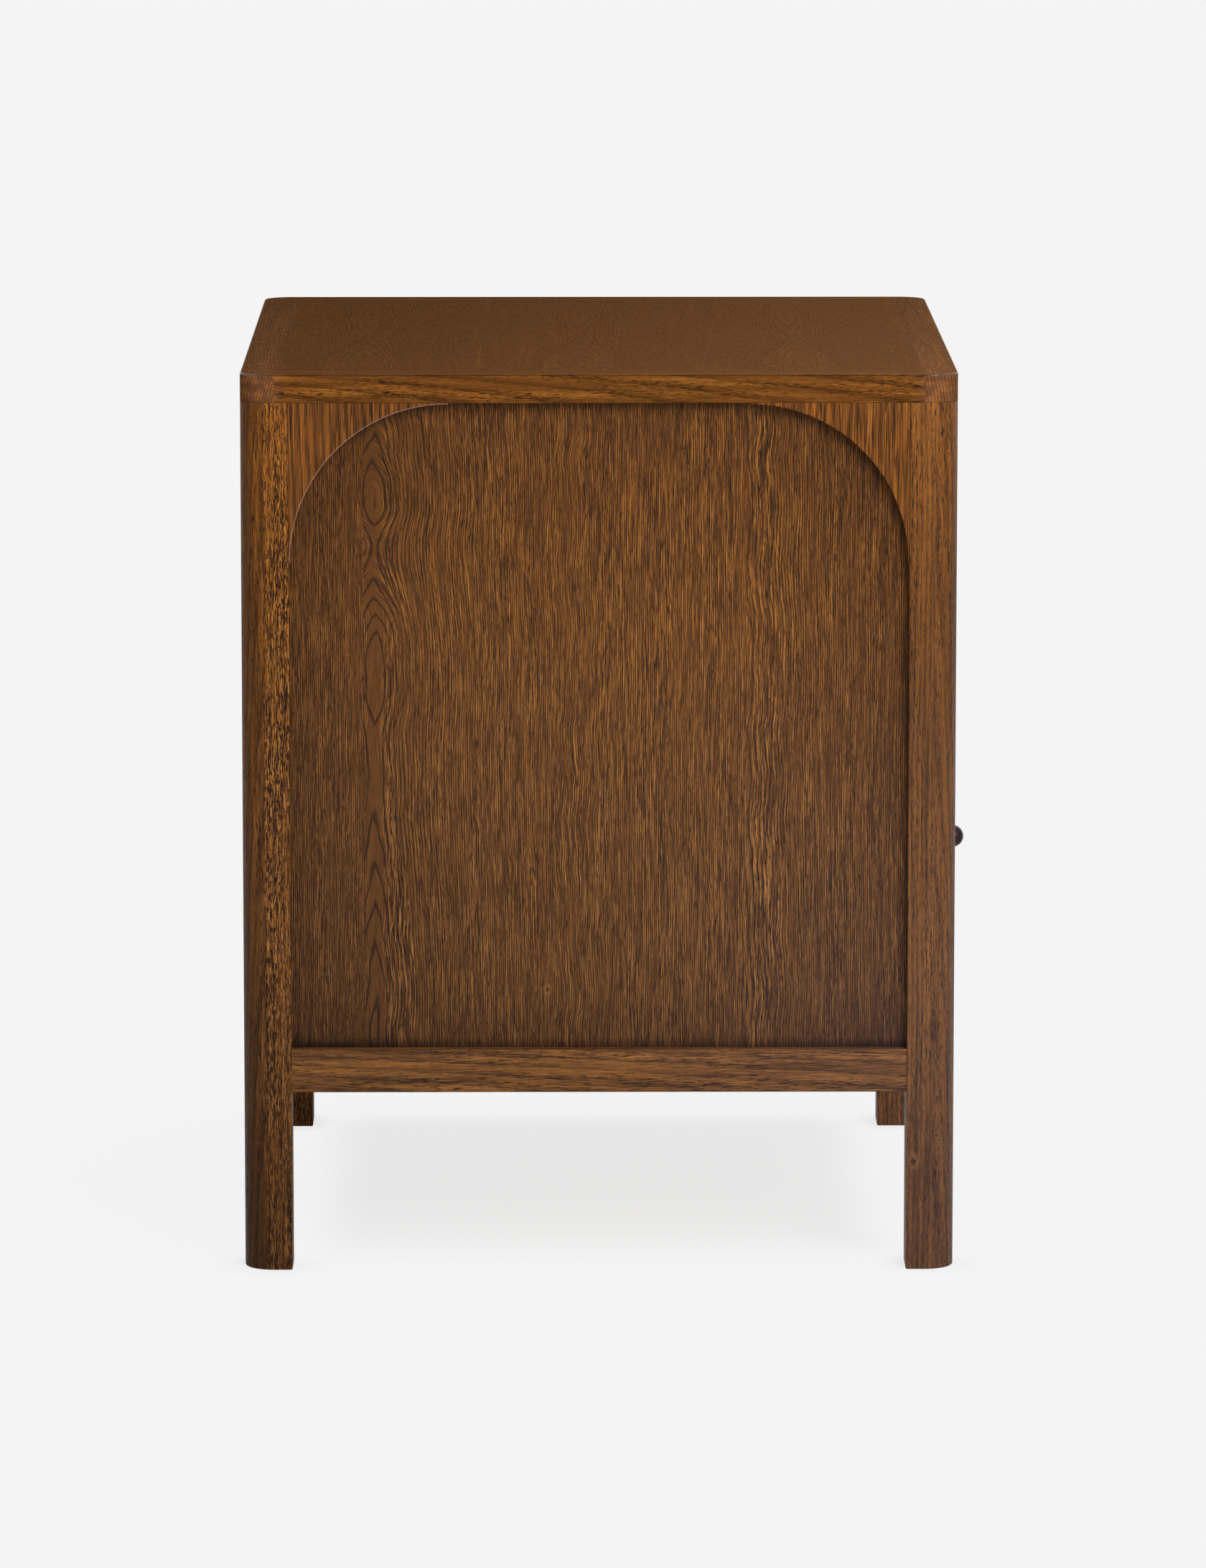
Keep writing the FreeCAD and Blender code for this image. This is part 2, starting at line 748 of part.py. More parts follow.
def make_pieces():
    """Every piece of the nightstand by its name."""
    pieces = make_top()
    for wall in side_walls:
        for end_name, end in ends:
            pieces["leg_" + end_name + "_" + wall.name] = make_leg(wall, end)
            pieces["side_spandrel_" + end_name + "_" + wall.name] = make_spandrel(wall, end, panel_setback)
        pieces["side_panel_" + wall.name] = make_side_panel(wall)
        spandrel = make_spandrel(front_wall, wall.sign, front_spandrel_thickness)
        pieces["front_spandrel_" + wall.name] = spandrel
        pieces["drawer_side_" + wall.name] = make_drawer_side(wall.sign)
        cabinet, middle, drawer = make_slide(wall.sign)
        pieces["slide_cabinet_" + wall.name] = cabinet
        pieces["slide_middle_" + wall.name] = middle
        pieces["slide_drawer_" + wall.name] = drawer
    for wall in all_walls:
        pieces["rail_" + wall.name] = make_rail(wall)
    pieces["case_bottom"] = make_case_bottom()
    pieces["back_panel"] = make_back_panel()
    pieces.update(make_shelf())
    pieces["drawer_face"] = make_drawer_face()
    pieces["drawer_box_front"] = make_drawer_end(-1)
    pieces["drawer_box_back"] = make_drawer_end(1)
    pieces["drawer_floor"] = drawer_floor(0)
    pieces["knob"] = make_knob()
    pieces["knob_screw"] = knob_screw(0)
    pieces["top_dowels"] = Part.makeCompound(top_dowels(0))
    pieces["spandrel_dowels"] = Part.makeCompound(spandrel_dowels(0))
    pieces["shelf_dowels"] = Part.makeCompound(shelf_dowels(0))
    pieces["back_screws"] = Part.makeCompound(back_screws(0))
    pieces["case_bottom_screws"] = Part.makeCompound(bottom_screws(0))
    pieces["drawer_face_screws"] = Part.makeCompound(face_screws(0))
    pieces["slide_case_screws"] = Part.makeCompound(slide_case_screws(0))
    pieces["slide_drawer_screws"] = Part.makeCompound(slide_drawer_screws(0))
    return pieces


os.makedirs("parts", exist_ok=True)
for name, shape in make_pieces().items():
    if not shape.isValid():
        raise ValueError(name + " is not a valid solid")
    shape.exportStep("parts/" + name + ".step")
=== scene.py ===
import json
import math

import bmesh
import bpy
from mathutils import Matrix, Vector

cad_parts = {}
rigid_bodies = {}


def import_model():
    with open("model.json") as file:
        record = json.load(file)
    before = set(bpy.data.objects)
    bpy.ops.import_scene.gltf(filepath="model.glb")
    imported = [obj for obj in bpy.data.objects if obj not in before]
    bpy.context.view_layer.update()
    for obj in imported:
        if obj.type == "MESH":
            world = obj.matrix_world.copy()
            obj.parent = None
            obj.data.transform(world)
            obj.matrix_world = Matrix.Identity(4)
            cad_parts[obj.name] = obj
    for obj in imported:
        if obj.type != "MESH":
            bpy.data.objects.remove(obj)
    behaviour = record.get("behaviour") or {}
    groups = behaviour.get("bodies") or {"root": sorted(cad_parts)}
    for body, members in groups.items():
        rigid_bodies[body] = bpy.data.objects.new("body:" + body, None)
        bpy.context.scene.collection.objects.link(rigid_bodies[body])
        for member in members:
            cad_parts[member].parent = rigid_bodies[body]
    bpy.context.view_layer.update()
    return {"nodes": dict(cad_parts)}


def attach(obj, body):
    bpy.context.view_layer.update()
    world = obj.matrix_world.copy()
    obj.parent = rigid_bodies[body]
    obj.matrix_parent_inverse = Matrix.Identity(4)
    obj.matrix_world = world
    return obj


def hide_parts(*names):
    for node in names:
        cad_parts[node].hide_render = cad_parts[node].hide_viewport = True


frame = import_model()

bl_info = {
    "name": "Oak nightstand",
    "version": (1, 0, 0),
    "blender": (4, 5, 0),
    "location": "View3D > Sidebar > Nightstand",
    "description": "Finishes the boards, fittings and knob of a small nightstand in stained oak",
    "category": "Object",
}

# The frame is in metres. Grain and small fittings are described in millimetres
MM = 0.001
PER_MM = 1000.0
FULL_TURN = 2 * math.pi


def box(node):
    """Lowest and highest corner of a CAD node, in millimetres."""
    places = [corner.co * PER_MM for corner in frame["nodes"][node].data.vertices]
    return [[pick(place[axis] for place in places) for axis in range(3)] for pick in (min, max)]


def middle(node):
    """Middle of a CAD node's box, in millimetres."""
    return [(low + high) / 2 for low, high in zip(*box(node))]


# Middle of the case from front to back, its outer side and the slab's face, in millimetres
CASE_MIDDLE = (middle("leg_front_right")[1] + middle("leg_back_right")[1]) / 2
CASE_SIDE = box("leg_back_right")[1][0]
SLAB_TOP = box("top_board")[1][2]

# How far from the case's middle the feet stand along X and Y, and the strips of a leg are joined along Y
FOOT_PLACE = (middle("leg_back_right")[0], middle("leg_back_right")[1] - CASE_MIDDLE)
STRIP_JOINT = 214.0

# Arch towards the back of each side: its centre along Y and Z, and its radius
ARCH_MIDDLE = box("side_spandrel_back_left")[0][1:]
ARCH_RADIUS = 101.0

# How close corners are merged, which folds of a surface are flattened, softened and smoothly shaded, and how
# many steps a softened arris has
MERGE = 0.001 * MM
FLAT_ANGLE = math.radians(0.2)
SHARP_ANGLE = math.radians(25)
SMOOTH_ANGLE = math.radians(32)
ARRIS_STEPS = 2

# Noises: repeats per millimetre in each direction, detail, and a shift that keeps each unlike the others
PITH_DRIFT = ((0.016, 0.02, 0.006), 2.0, 0.0)
RING_JAG = ((0.7, 0.7, 0.05), 2.0, 3.0)
PORE_STAGGER = ((0.35, 0.35, 0.0), 1.0, 29.0)
GROUND_TONE = ((0.2, 0.2, 0.008), 4.0, 17.0)
BUSY_PATCH = ((0.11, 0.11, 0.008), 1.0, 23.0)
LEAF_DRIFT = ((0.02, 0.0, 0.011), 2.0, 0.0)
LEAF_LEAN = ((0.0, 0.0, 0.03), 1.0, 5.0)
KNOT_EDGE = ((0.9, 0.9, 0.9), 2.0, 0.0)
METAL_PATCH = ((0.12, 0.12, 0.12), 3.0, 0.0)
METAL_LINE = ((2.0, 0.05, 2.0), 2.0, 5.0)

# Levels of a noise between which a pore opens, a dark line and a gold fleck show, and a patch turns busy
PORE_LEVELS = (0.6, 0.68)
LINE_LEVELS = (0.485, 0.36)
FLECK_LEVELS = (0.52, 0.62)
BUSY_LEVELS = (0.35, 0.62)

# Share of a ring over which its early wood sets in, and share of the flecks that early wood hides
EARLY_START = 0.1
EARLY_COVER = 0.6

# Pores: gain from an open grain, run of their stagger in pore lengths, share of colour and added roughness
OPEN_GAIN = 0.1
STAGGER_RUN = 6
PORE_COLOUR = 0.95
PORE_ROUGHNESS = 0.2

# Relief of the grain: fibres stand up, pores and early wood lie low
FIBRE_HEIGHT = 0.4
PORE_DEPTH = 0.8
EARLY_DEPTH = 0.15

# How much further the pith wanders sideways than in depth, in a board and in veneer
BOARD_WANDER = 1.5
LEAF_WANDER = 2

# Share of the figure that is lost at the faded ends of a board
END_LOSS = 0.9

# Knots: core as a share of the radius, how they are drawn out and ragged, and shares of pale ring and core
KNOT_CORE = 0.35
KNOT_STRETCH = 0.7
KNOT_RAG = 2.4
KNOT_PALE = 0.35
KNOT_DARK = 0.85

# How far from the pith the veneer was sliced at its foot, and on the mean, which its fibres are drawn from
LEAF_DEPTH = 27.8
MEAN_DEPTH = 36.0

# Veneer: how the leaves differ in faintness, how steeply and how far a faint leaf's figure is moved aside,
# and the share of its bands that it loses
LEAF_PHASE = 1.2
FAINT_POWER = 4
FAINT_MOVE = 60
FAINT_BANDS = 0.5

# Veneer: distances from its heart over which the lean of the heart sets in, and how far it leans
HEART_LEAN = (40, 8, 7)

# Veneer: how pointed its peaks are, and the least share of the squared distance that its fibres keep
PEAK_POINT = 0.1
STRAIGHT_SHARE = 0.25

# Veneer: distances from its heart over which it turns calm, the bands there, and the share of figure lost
CALM_RUN = (9, 2)
CALM_BANDS = 0.36
CALM_LOSS = 0.8

# Veneer: change of tone across a leaf, and shifts that keep leaves and their halves unlike
LEAF_TONE = 0.1
LEAF_SHIFT = 37.0
HALF_SHIFT = 5.0

# Roughness of the lacquer that shines, and of the patches on metal
COAT_ROUGHNESS = 0.2
PATCH_LEVELS = (0.3, 0.7)
PATCH_ROUGHNESS = 0.12


def shown(red, green, blue):
    """Linear colour of a display colour whose parts run from 0 to 255."""
    def linear(part):
        share = part / 255
        return share / 12.92 if share <= 0.04045 else ((share + 0.055) / 1.055) ** 2.4

    return (linear(red), linear(green), linear(blue), 1.0)


def colour_setting(name, description, red, green, blue):
    """A colour that a user can change."""
    default = shown(red, green, blue)
    return bpy.props.FloatVectorProperty(
        name=name, description=description, subtype="COLOR", size=4, min=0.0, max=1.0, default=default
    )


def share_setting(name, description, default):
    """A number from 0 to 1 that a user can change."""
    return bpy.props.FloatProperty(name=name, description=description, default=default, min=0.0, max=1.0)


def length_setting(name, description, default):
    """A length in millimetres that a user can change."""
    description = description + ", in millimetres"
    return bpy.props.FloatProperty(name=name, description=description, default=default, min=0.0)


class Shade:
    """One output in a material. Python's arithmetic on it adds Math nodes."""

    def __init__(self, finish, socket):
        self.finish = finish
        self.socket = socket

    def maths(self, operation, *values):
        """Add a Math node on these values, numbers or shades."""
        return self.finish.node("ShaderNodeMath", {"operation": operation}, dict(enumerate(values)))

    def __add__(self, other):
        return self.maths("ADD", self, other)

    def __radd__(self, other):
        return self.maths("ADD", other, self)

    def __sub__(self, other):
        return self.maths("SUBTRACT", self, other)

    def __rsub__(self, other):
        return self.maths("SUBTRACT", other, self)

    def __mul__(self, other):
        return self.maths("MULTIPLY", self, other)

    def __rmul__(self, other):
        return self.maths("MULTIPLY", other, self)

    def __truediv__(self, other):
        return self.maths("DIVIDE", self, other)

    def __pow__(self, other):
        return self.maths("POWER", self, other)

    def floor(self):
        """Whole number below."""
        return self.maths("FLOOR", self)

    def part(self):
        """What is left above the whole number."""
        return self.maths("FRACT", self)

    def size(self):
        """Distance from zero."""
        return self.maths("ABSOLUTE", self)

    def sine(self):
        """Sine of an angle in radians."""
        return self.maths("SINE", self)

    def above(self, limit):
        """1 where this is over a limit, and 0 elsewhere."""
        return self.maths("GREATER_THAN", self, limit)

    def most(self, other):
        """The larger of two values."""
        return self.maths("MAXIMUM", self, other)

    def rise(self, start, end):
        """0 before one value, 1 past another, and a smooth climb between them, in either order."""
        settings = {"interpolation_type": "SMOOTHSTEP"}
        return self.finish.node("ShaderNodeMapRange", settings, {0: self, 1: start, 2: end})

    def grow(self, start, end, share):
        """0 before one value, a share past another, and a smooth climb between them, in either order."""
        return self.rise(start, end) * share


class Finish:
    """The nodes of a material or of the world, and one method that adds every node."""

    def __init__(self, owner):
        owner.use_nodes = True
        self.owner = owner
        self.nodes = owner.node_tree.nodes
        self.links = owner.node_tree.links

    def node(self, kind, settings=None, inputs=None, output=0):
        """Add a node with its settings, then its values and links, and give one of its outputs."""
        made = self.nodes.new(kind)
        for name, value in (settings or {}).items():
            setattr(made, name, value)
        for socket, value in (inputs or {}).items():
            self.feed(made.inputs[socket], value)
        return Shade(self, made.outputs[output])

    def feed(self, socket, value):
        """Give a socket a link or a plain value."""
        if isinstance(value, Shade):
            self.links.new(value.socket, socket)
        else:
            socket.default_value = value

    def place(self, axes):
        """Place on the object in millimetres, along these axes in turn. A minus turns an axis round."""
        spot = self.node("ShaderNodeTexCoord", output="Object")
        found = []
        for axis in axes.split():
            part = self.node("ShaderNodeSeparateXYZ", None, {0: spot}, "XYZ".index(axis[-1]))
            found.append(part * (-PER_MM if axis[0] == "-" else PER_MM))
        return found

    def noise(self, place, kind, turn=0.0):
        """Smooth noise from 0 to 1 of one kind: its rates along each direction, its detail and its shift."""
        rates, detail, shift = kind
        parts = {axis: place[axis] * rates[axis] + (turn + shift) for axis in range(3)}
        spot = self.node("ShaderNodeCombineXYZ", None, parts)
        return self.node("ShaderNodeTexNoise", None, {"Vector": spot, "Scale": 1.0, "Detail": detail})

    def mix(self, factor, first, second, blend="MIX"):
        """Colour between two colours."""
        settings = {"data_type": "RGBA", "blend_type": blend}
        return self.node("ShaderNodeMix", settings, {0: factor, 6: first, 7: second}, 2)

    def surface(self, colour, roughness, relief=None, depth=0.0, lacquer=None, **constants):
        """Set the shader's plain values, then link what changes over the surface."""
        shader = self.nodes["Principled BSDF"]
        for socket, value in constants.items():
            shader.inputs[socket.replace("_", " ")].default_value = value
        self.feed(shader.inputs["Base Color"], colour)
        self.feed(shader.inputs["Roughness"], roughness)
        if lacquer is not None:
            shader.inputs["Coat Roughness"].default_value = COAT_ROUGHNESS
            self.feed(shader.inputs["Coat Weight"], lacquer)
        if relief is not None:
            bump = self.node("ShaderNodeBump", None, {"Height": relief, "Distance": depth * MM})
            self.feed(shader.inputs["Normal"], bump)
        return self.owner


def distance(wide, high):
    """Distance of a place from a centre, from what lies between them in two directions."""
    return (wide * wide + high * high) ** 0.5


class Cut:
    """How a board lies in its log, and how open and lively its grain is. Lengths are in millimetres."""

    # Place of the pith across the board and in its depth, and how fast it rises along the board
    pith = (0.0, 60.0)
    slope = 0.04
    # Slow wave of the pith along the board: its height, length and start
    swing = (0.0, 140.0, 0.0)
    # Stretches over which a leaf of veneer comes to lie deeper in the log: from, to and how much
    swells = ()
    # How far the pith wanders, width of a year ring and how ragged it is
    wander = 5.0
    ring = 2.4
    jag = 0.8
    # Width and length of a pore, and how open the grain is
    pore = (0.5, 6.0)
    open = 0.5
    # Share of a ring that is early wood, and how much more open its grain is
    early = 0.6
    gather = 0.07
    # Shares of the dark early bands, the dark lines and the gold flecks
    bands = 0.45
    lines = 0.8
    flecks = 0.6
    # Share of lines, flecks and pores that shows at all, and how much of it comes in patches
    busy = 1.0
    patchy = 0.5
    # Tone of the ground from deep to light, and the spread of noise between the two
    tone = 0.5
    spread = 0.36
    # How faint the figure is in the leaves of veneer beside the first
    quiet = 0.0
    # Knots: place across and along the board, and radius
    knots = ()
    # Distances from the middle between which the figure fades at both ends of the board
    ends = ()
    # Shift of every noise, which keeps the boards unlike
    turn = 0.0

    def __init__(self, **changes):
        vars(self).update(changes)

    def changed(self, **changes):
        """The same cut with other values for some of these."""
        return Cut(**{**vars(self), **changes})


def rings(finish, place, cut):
    """Distance from the pith, which wanders and leans along the board."""
    across, depth, along = place
    drift = finish.noise(place, PITH_DRIFT, cut.turn) - 0.5
    height, length, start = cut.swing
    deep = depth - cut.pith[1] + along * cut.slope + drift * cut.wander
    if height:
        deep = deep + ((along - start) * (FULL_TURN / length)).sine() * height
    wide = across - cut.pith[0] + drift * (BOARD_WANDER * cut.wander)
    return distance(wide, deep)


def grain(finish, fibres, radius, cut, wood):
    """Colour, pores and relief of one wood from the run of its fibres and from its rings."""
    jag = finish.noise(fibres, RING_JAG, cut.turn) - 0.5
    ring = ((radius + jag * cut.jag) / cut.ring).part()
    early = (1 - ring.rise(EARLY_START, cut.early)) * ring.rise(0.0, EARLY_START)
    width, length = cut.pore
    # Kinds of noise for the pores and for the longer fibres between them
    pit = ((1 / width, 1 / width, 1 / length), 1.0, 7.0)
    strand = ((0.9 / width, 0.9 / width, 0.3 / length), 2.0, 11.0)
    stagger = finish.noise(fibres, PORE_STAGGER, cut.turn) * (STAGGER_RUN * length)
    fibres = (fibres[0], fibres[1], fibres[2] + stagger)
    pits = finish.noise(fibres, pit, cut.turn)
    pores = (pits + early * cut.gather + cut.open * OPEN_GAIN).rise(*PORE_LEVELS)
    fibre = finish.noise(fibres, strand, cut.turn)
    tone = finish.noise(fibres, GROUND_TONE, cut.turn) + (cut.tone - 0.5)
    patch = finish.noise(fibres, BUSY_PATCH, cut.turn).rise(*BUSY_LEVELS)
    busy = (patch * cut.patchy + (1 - cut.patchy)) * cut.busy
    lines = fibre.rise(*LINE_LEVELS) * (busy * cut.lines)
    flecks = fibre.rise(*FLECK_LEVELS) * (1 - early * EARLY_COVER) * (busy * cut.flecks)
    ground = finish.mix(tone.rise(0.5 - cut.spread / 2, 0.5 + cut.spread / 2), wood.deep, wood.light)
    ground = finish.mix(lines, ground, wood.dark)
    ground = finish.mix(early * cut.bands, ground, wood.dark)
    ground = finish.mix(flecks, ground, wood.gold)
    colour = finish.mix(pores * busy * PORE_COLOUR, ground, wood.pore)
    relief = fibre * FIBRE_HEIGHT - pores * PORE_DEPTH - early * EARLY_DEPTH
    return colour, pores, relief


def knotted(finish, place, colour, cut, wood):
    """Small dark knots, drawn out along the board, each in a ring of paler wood."""
    for across, along, radius in cut.knots:
        wide = place[0] - across
        high = (place[2] - along) * KNOT_STRETCH
        ragged = finish.noise(place, KNOT_EDGE, along) - 0.5
        reach = distance(wide, high) + ragged * (KNOT_RAG * radius)
        colour = finish.mix(reach.grow(2 * radius, radius, KNOT_PALE), colour, wood.gold)
        colour = finish.mix(reach.grow(radius, KNOT_CORE * radius, KNOT_DARK), colour, wood.pore)
    return colour


def plain(finish, colour, wood):
    """No change of tone over a piece."""
    return colour


def tinted(finish, share, colour, tint):
    """A colour with a share of a tint laid over it, as a glaze."""
    return finish.mix(share, colour, tint, "MULTIPLY")


# Painted light on the whole case, laid on as tints: heights from and to which each grows, and its share. The
# painted sheen lies low at the front
PAINTED_WARM_LIGHT = (280, 560, 0.85)
PAINTED_GREY_SHADE = (480, 60, 0.7)
PAINTED_SHEEN_RUN = (60, -230)
PAINTED_SHEEN_HEIGHTS = (480, 100)
PAINTED_SHEEN_SHARE = 0.018


def painted_height_light(finish, colour, wood):
    """Painted warmer light high on the case and painted greyer shade low on it, with a faint painted sheen at
    the front.
    """
    along, up = finish.place("Y Z")
    # Painted light: warmer towards the top, greyer and darker towards the foot, and a bluish sheen low at the
    # front
    colour = tinted(finish, up.grow(*PAINTED_WARM_LIGHT), colour, wood.warm)
    colour = tinted(finish, up.grow(*PAINTED_GREY_SHADE), colour, wood.grey)
    painted_sheen = along.rise(*PAINTED_SHEEN_RUN) * up.rise(*PAINTED_SHEEN_HEIGHTS) * PAINTED_SHEEN_SHARE
    return finish.mix(painted_sheen, colour, wood.painted_sheen)


# Painted highlight on the arris of the arch: from and to which distance from its centre and from the case's
# middle, and its share
HIGHLIGHT_REACH = (ARCH_RADIUS + 1.1, ARCH_RADIUS + 0.5)
HIGHLIGHT_SIDE = (CASE_SIDE - 2.1, CASE_SIDE - 1.5, 0.5)

# Spandrels: share of a warmer tint, and the run over which they grow darker towards the back, with its share
SPANDREL_WARMTH = 0.6
SPANDREL_BACK_DARKENING = (0, 60, 0.15)


def spandrel_painted_light(finish, colour, wood):
    """Painted highlight on the arris of the arch towards the back of each side, over the case's painted
    light, a warmer tint and a darkening towards the back.
    """
    side, along, up = finish.place("X Y Z")
    reach = distance(along - ARCH_MIDDLE[0], up - ARCH_MIDDLE[1])
    # Painted highlight: a pale line along the arris, where it would catch the light
    painted_highlight = reach.rise(*HIGHLIGHT_REACH) * side.size().grow(*HIGHLIGHT_SIDE)
    colour = tinted(finish, SPANDREL_WARMTH, painted_height_light(finish, colour, wood), wood.warm)
    colour = tinted(finish, along.grow(*SPANDREL_BACK_DARKENING), colour, wood.stain)
    return finish.mix(painted_highlight, colour, wood.painted_highlight)


# Painted shade on a leg, darker towards its foot: heights of the foot, its share at the front and how much
# more it is at the back, and heights and share over the length
LEG_RUN = (-100, 100)
LEG_FOOT = (260, -60)
LEG_FOOT_SHARE = 0.34
LEG_FOOT_GAIN = 0.2
LEG_LENGTH = (560, 200, 0.14)

# Dark patch on a leg: its height, its reach, its share at the front leg and how much less that is at the back
LEG_PATCH_HEIGHT = 400
LEG_PATCH_REACH = (200, 20)
LEG_PATCH_SHARE = 0.4
LEG_PATCH_LOSS = 0.24


def leg_painted_shade(finish, colour, wood):
    """Painted shade that darkens a leg towards its foot, and a darker patch at mid height, over the case's
    painted light.
    """
    along, up = finish.place("Y Z")
    back = along.rise(*LEG_RUN)
    # Painted shade that grows towards the foot and down the length of the leg
    foot = up.rise(*LEG_FOOT) * (back * LEG_FOOT_GAIN + LEG_FOOT_SHARE)
    patch = (up - LEG_PATCH_HEIGHT).size().rise(*LEG_PATCH_REACH) * (LEG_PATCH_SHARE - back * LEG_PATCH_LOSS)
    dark = foot + up.grow(*LEG_LENGTH) + patch
    return painted_height_light(finish, tinted(finish, dark, colour, wood.stain), wood)


# Painted shade round the edges of a recessed side panel, from and to and its share: back, front, foot, a
# painted shadow line in the joint with the rail, and head under the slab, with how much less there is of it
# towards the back
PANEL_BACK = (70, 205, 0.36)
PANEL_FRONT = (-60, -240, 0.34)
PANEL_FOOT = (195, 144, 0.2)
PANEL_JOINT = (152, 144.5, 0.5)
PANEL_HEAD = (400, 563)
PANEL_HEAD_SHARE = 0.24
PANEL_HEAD_LOSS = (-60, 120, 0.04)


def panel_painted_shade(finish, colour, wood):
    """Painted shade round the edges of a recessed side panel, under the slab and above the rail, with a
    painted shadow line in its joint with the rail.
    """
    along, up = finish.place("Y Z")
    # Painted shade: the stain tint laid where shade falls in the recess
    edges = along.grow(*PANEL_BACK) + along.grow(*PANEL_FRONT)
    foot = up.grow(*PANEL_FOOT) + up.grow(*PANEL_JOINT)
    head = up.rise(*PANEL_HEAD) * (PANEL_HEAD_SHARE - along.grow(*PANEL_HEAD_LOSS))
    return painted_height_light(finish, tinted(finish, edges + foot + head, colour, wood.stain), wood)


# Slab: run over which its face grows darker to the back, and the face's heights, each with its share
FACE_DARKENING = (-260, 230, 0.46)
FACE_FILL = (SLAB_TOP - 0.7, SLAB_TOP - 0.1, 0.52)

# Slab: heights of the foot and the head of the dark line at its arris, with its share
LINE_FOOT = (SLAB_TOP - 1.4, SLAB_TOP - 1.0, 0.5)
LINE_HEAD = (SLAB_TOP - 0.1, SLAB_TOP - 0.6)

# Slab: share of painted warmer light between the corners, where the corners with their painted sheen set in,
# and where lacquer shines on them
TOP_PAINTED_WARMTH = 0.4
CORNER_RUN = (198, 212)
LACQUER_RUN = (206, 222)
LACQUER_FOOT = (SLAB_TOP - 1.6, SLAB_TOP - 1.0)
LACQUER_HEAD = (SLAB_TOP - 0.05, SLAB_TOP - 0.4)


def top_tone_and_light(finish, colour, wood):
    """Filled grain on the upper face of the slab, darker to the back, with painted warmer light between the
    corners, a painted sheen on them and a dark line at its arris.
    """
    along, up = finish.place("Y Z")
    face_tone = finish.mix(along.grow(*FACE_DARKENING), wood.top, wood.dark)
    corner = (along - CASE_MIDDLE).size().rise(*CORNER_RUN)
    # Painted warmer light on the slab, less at its corners, and a painted sheen at the corners
    colour = tinted(finish, TOP_PAINTED_WARMTH - corner * TOP_PAINTED_WARMTH, colour, wood.warm)
    colour = finish.mix(corner * PAINTED_SHEEN_SHARE, colour, wood.painted_sheen)
    colour = finish.mix(up.grow(*FACE_FILL), colour, face_tone)
    return finish.mix(up.grow(*LINE_FOOT) * up.rise(*LINE_HEAD), colour, wood.pore)


def edge_lacquer(finish):
    """Lacquer that shines only on the upper arris at the corners of the slab."""
    along, up = finish.place("Y Z")
    corner = (along - CASE_MIDDLE).size().rise(*LACQUER_RUN)
    return up.rise(*LACQUER_FOOT) * up.rise(*LACQUER_HEAD) * corner


def lacquered(finish, layers, wood, gloss=None, lacquer=None):
    """Finish wood from its colour, pores and relief, with a rougher surface in the pores."""
    colour, pores, relief = layers
    gloss = wood.gloss if gloss is None else gloss
    roughness = pores * PORE_ROUGHNESS + wood.roughness
    return finish.surface(colour, roughness, relief, wood.relief, lacquer, Specular_IOR_Level=gloss)


def solid(name, axes, cut, wood, gloss=None, toned=plain, lacquer=None):
    """Finish for one solid board, the same figure all the way through it."""
    finish = Finish(bpy.data.materials.new(name))
    place = finish.place(axes)
    if cut.ends:
        cut = cut.changed(busy=1 - place[2].size().grow(*cut.ends, END_LOSS))
    colour, pores, relief = grain(finish, place, rings(finish, place, cut), cut, wood)
    colour = toned(finish, knotted(finish, place, colour, cut, wood), wood)
    coating = lacquer(finish) if lacquer else None
    return lacquered(finish, (colour, pores, relief), wood, gloss, coating)


def veneered(name, axes, leaf, cut, wood, gloss=None, toned=plain):
    """Finish for a veneered board: slip-matched leaves, the same figure again and fainter in some of them."""
    finish = Finish(bpy.data.materials.new(name))
    across, depth, along = finish.place(axes)
    width, start, centre = leaf
    count = ((across - start) / width).floor()
    local = across - start - count * width
    place = (local, depth, along)
    faint = (count * LEAF_PHASE).sine().size() * cut.quiet
    drift = finish.noise(place, LEAF_DRIFT, cut.turn) - 0.5
    lean = finish.noise(place, LEAF_LEAN, cut.turn) - 0.5
    swell = drift * cut.wander
    for low, high, height in cut.swells:
        swell = swell + along.grow(low, high, height)
    wide = local - centre + drift * (LEAF_WANDER * cut.wander)
    wide = wide + lean * wide.size().grow(*HEART_LEAN) + (faint ** FAINT_POWER) * FAINT_MOVE
    deep = swell * (1 - faint) + LEAF_DEPTH
    radius = distance(wide, deep) + wide.size() * PEAK_POINT
    curved = wide * wide + deep * deep - MEAN_DEPTH * MEAN_DEPTH
    flow = curved.most(wide * wide * STRAIGHT_SHARE) ** 0.5
    fibres = (flow, count * LEAF_SHIFT + wide.above(0) * HALF_SHIFT, along)
    calm = wide.size().rise(*CALM_RUN) * (1 - faint)
    soft = cut.changed(
        tone=(local / width - 0.5) * LEAF_TONE + cut.tone,
        busy=1 - calm * CALM_LOSS,
        bands=calm * CALM_BANDS + cut.bands * (1 - faint * FAINT_BANDS),
    )
    colour, pores, relief = grain(finish, fibres, radius, soft, wood)
    colour = toned(finish, knotted(finish, (across, depth, along), colour, cut, wood), wood)
    return lacquered(finish, (colour, pores, relief), wood, gloss)


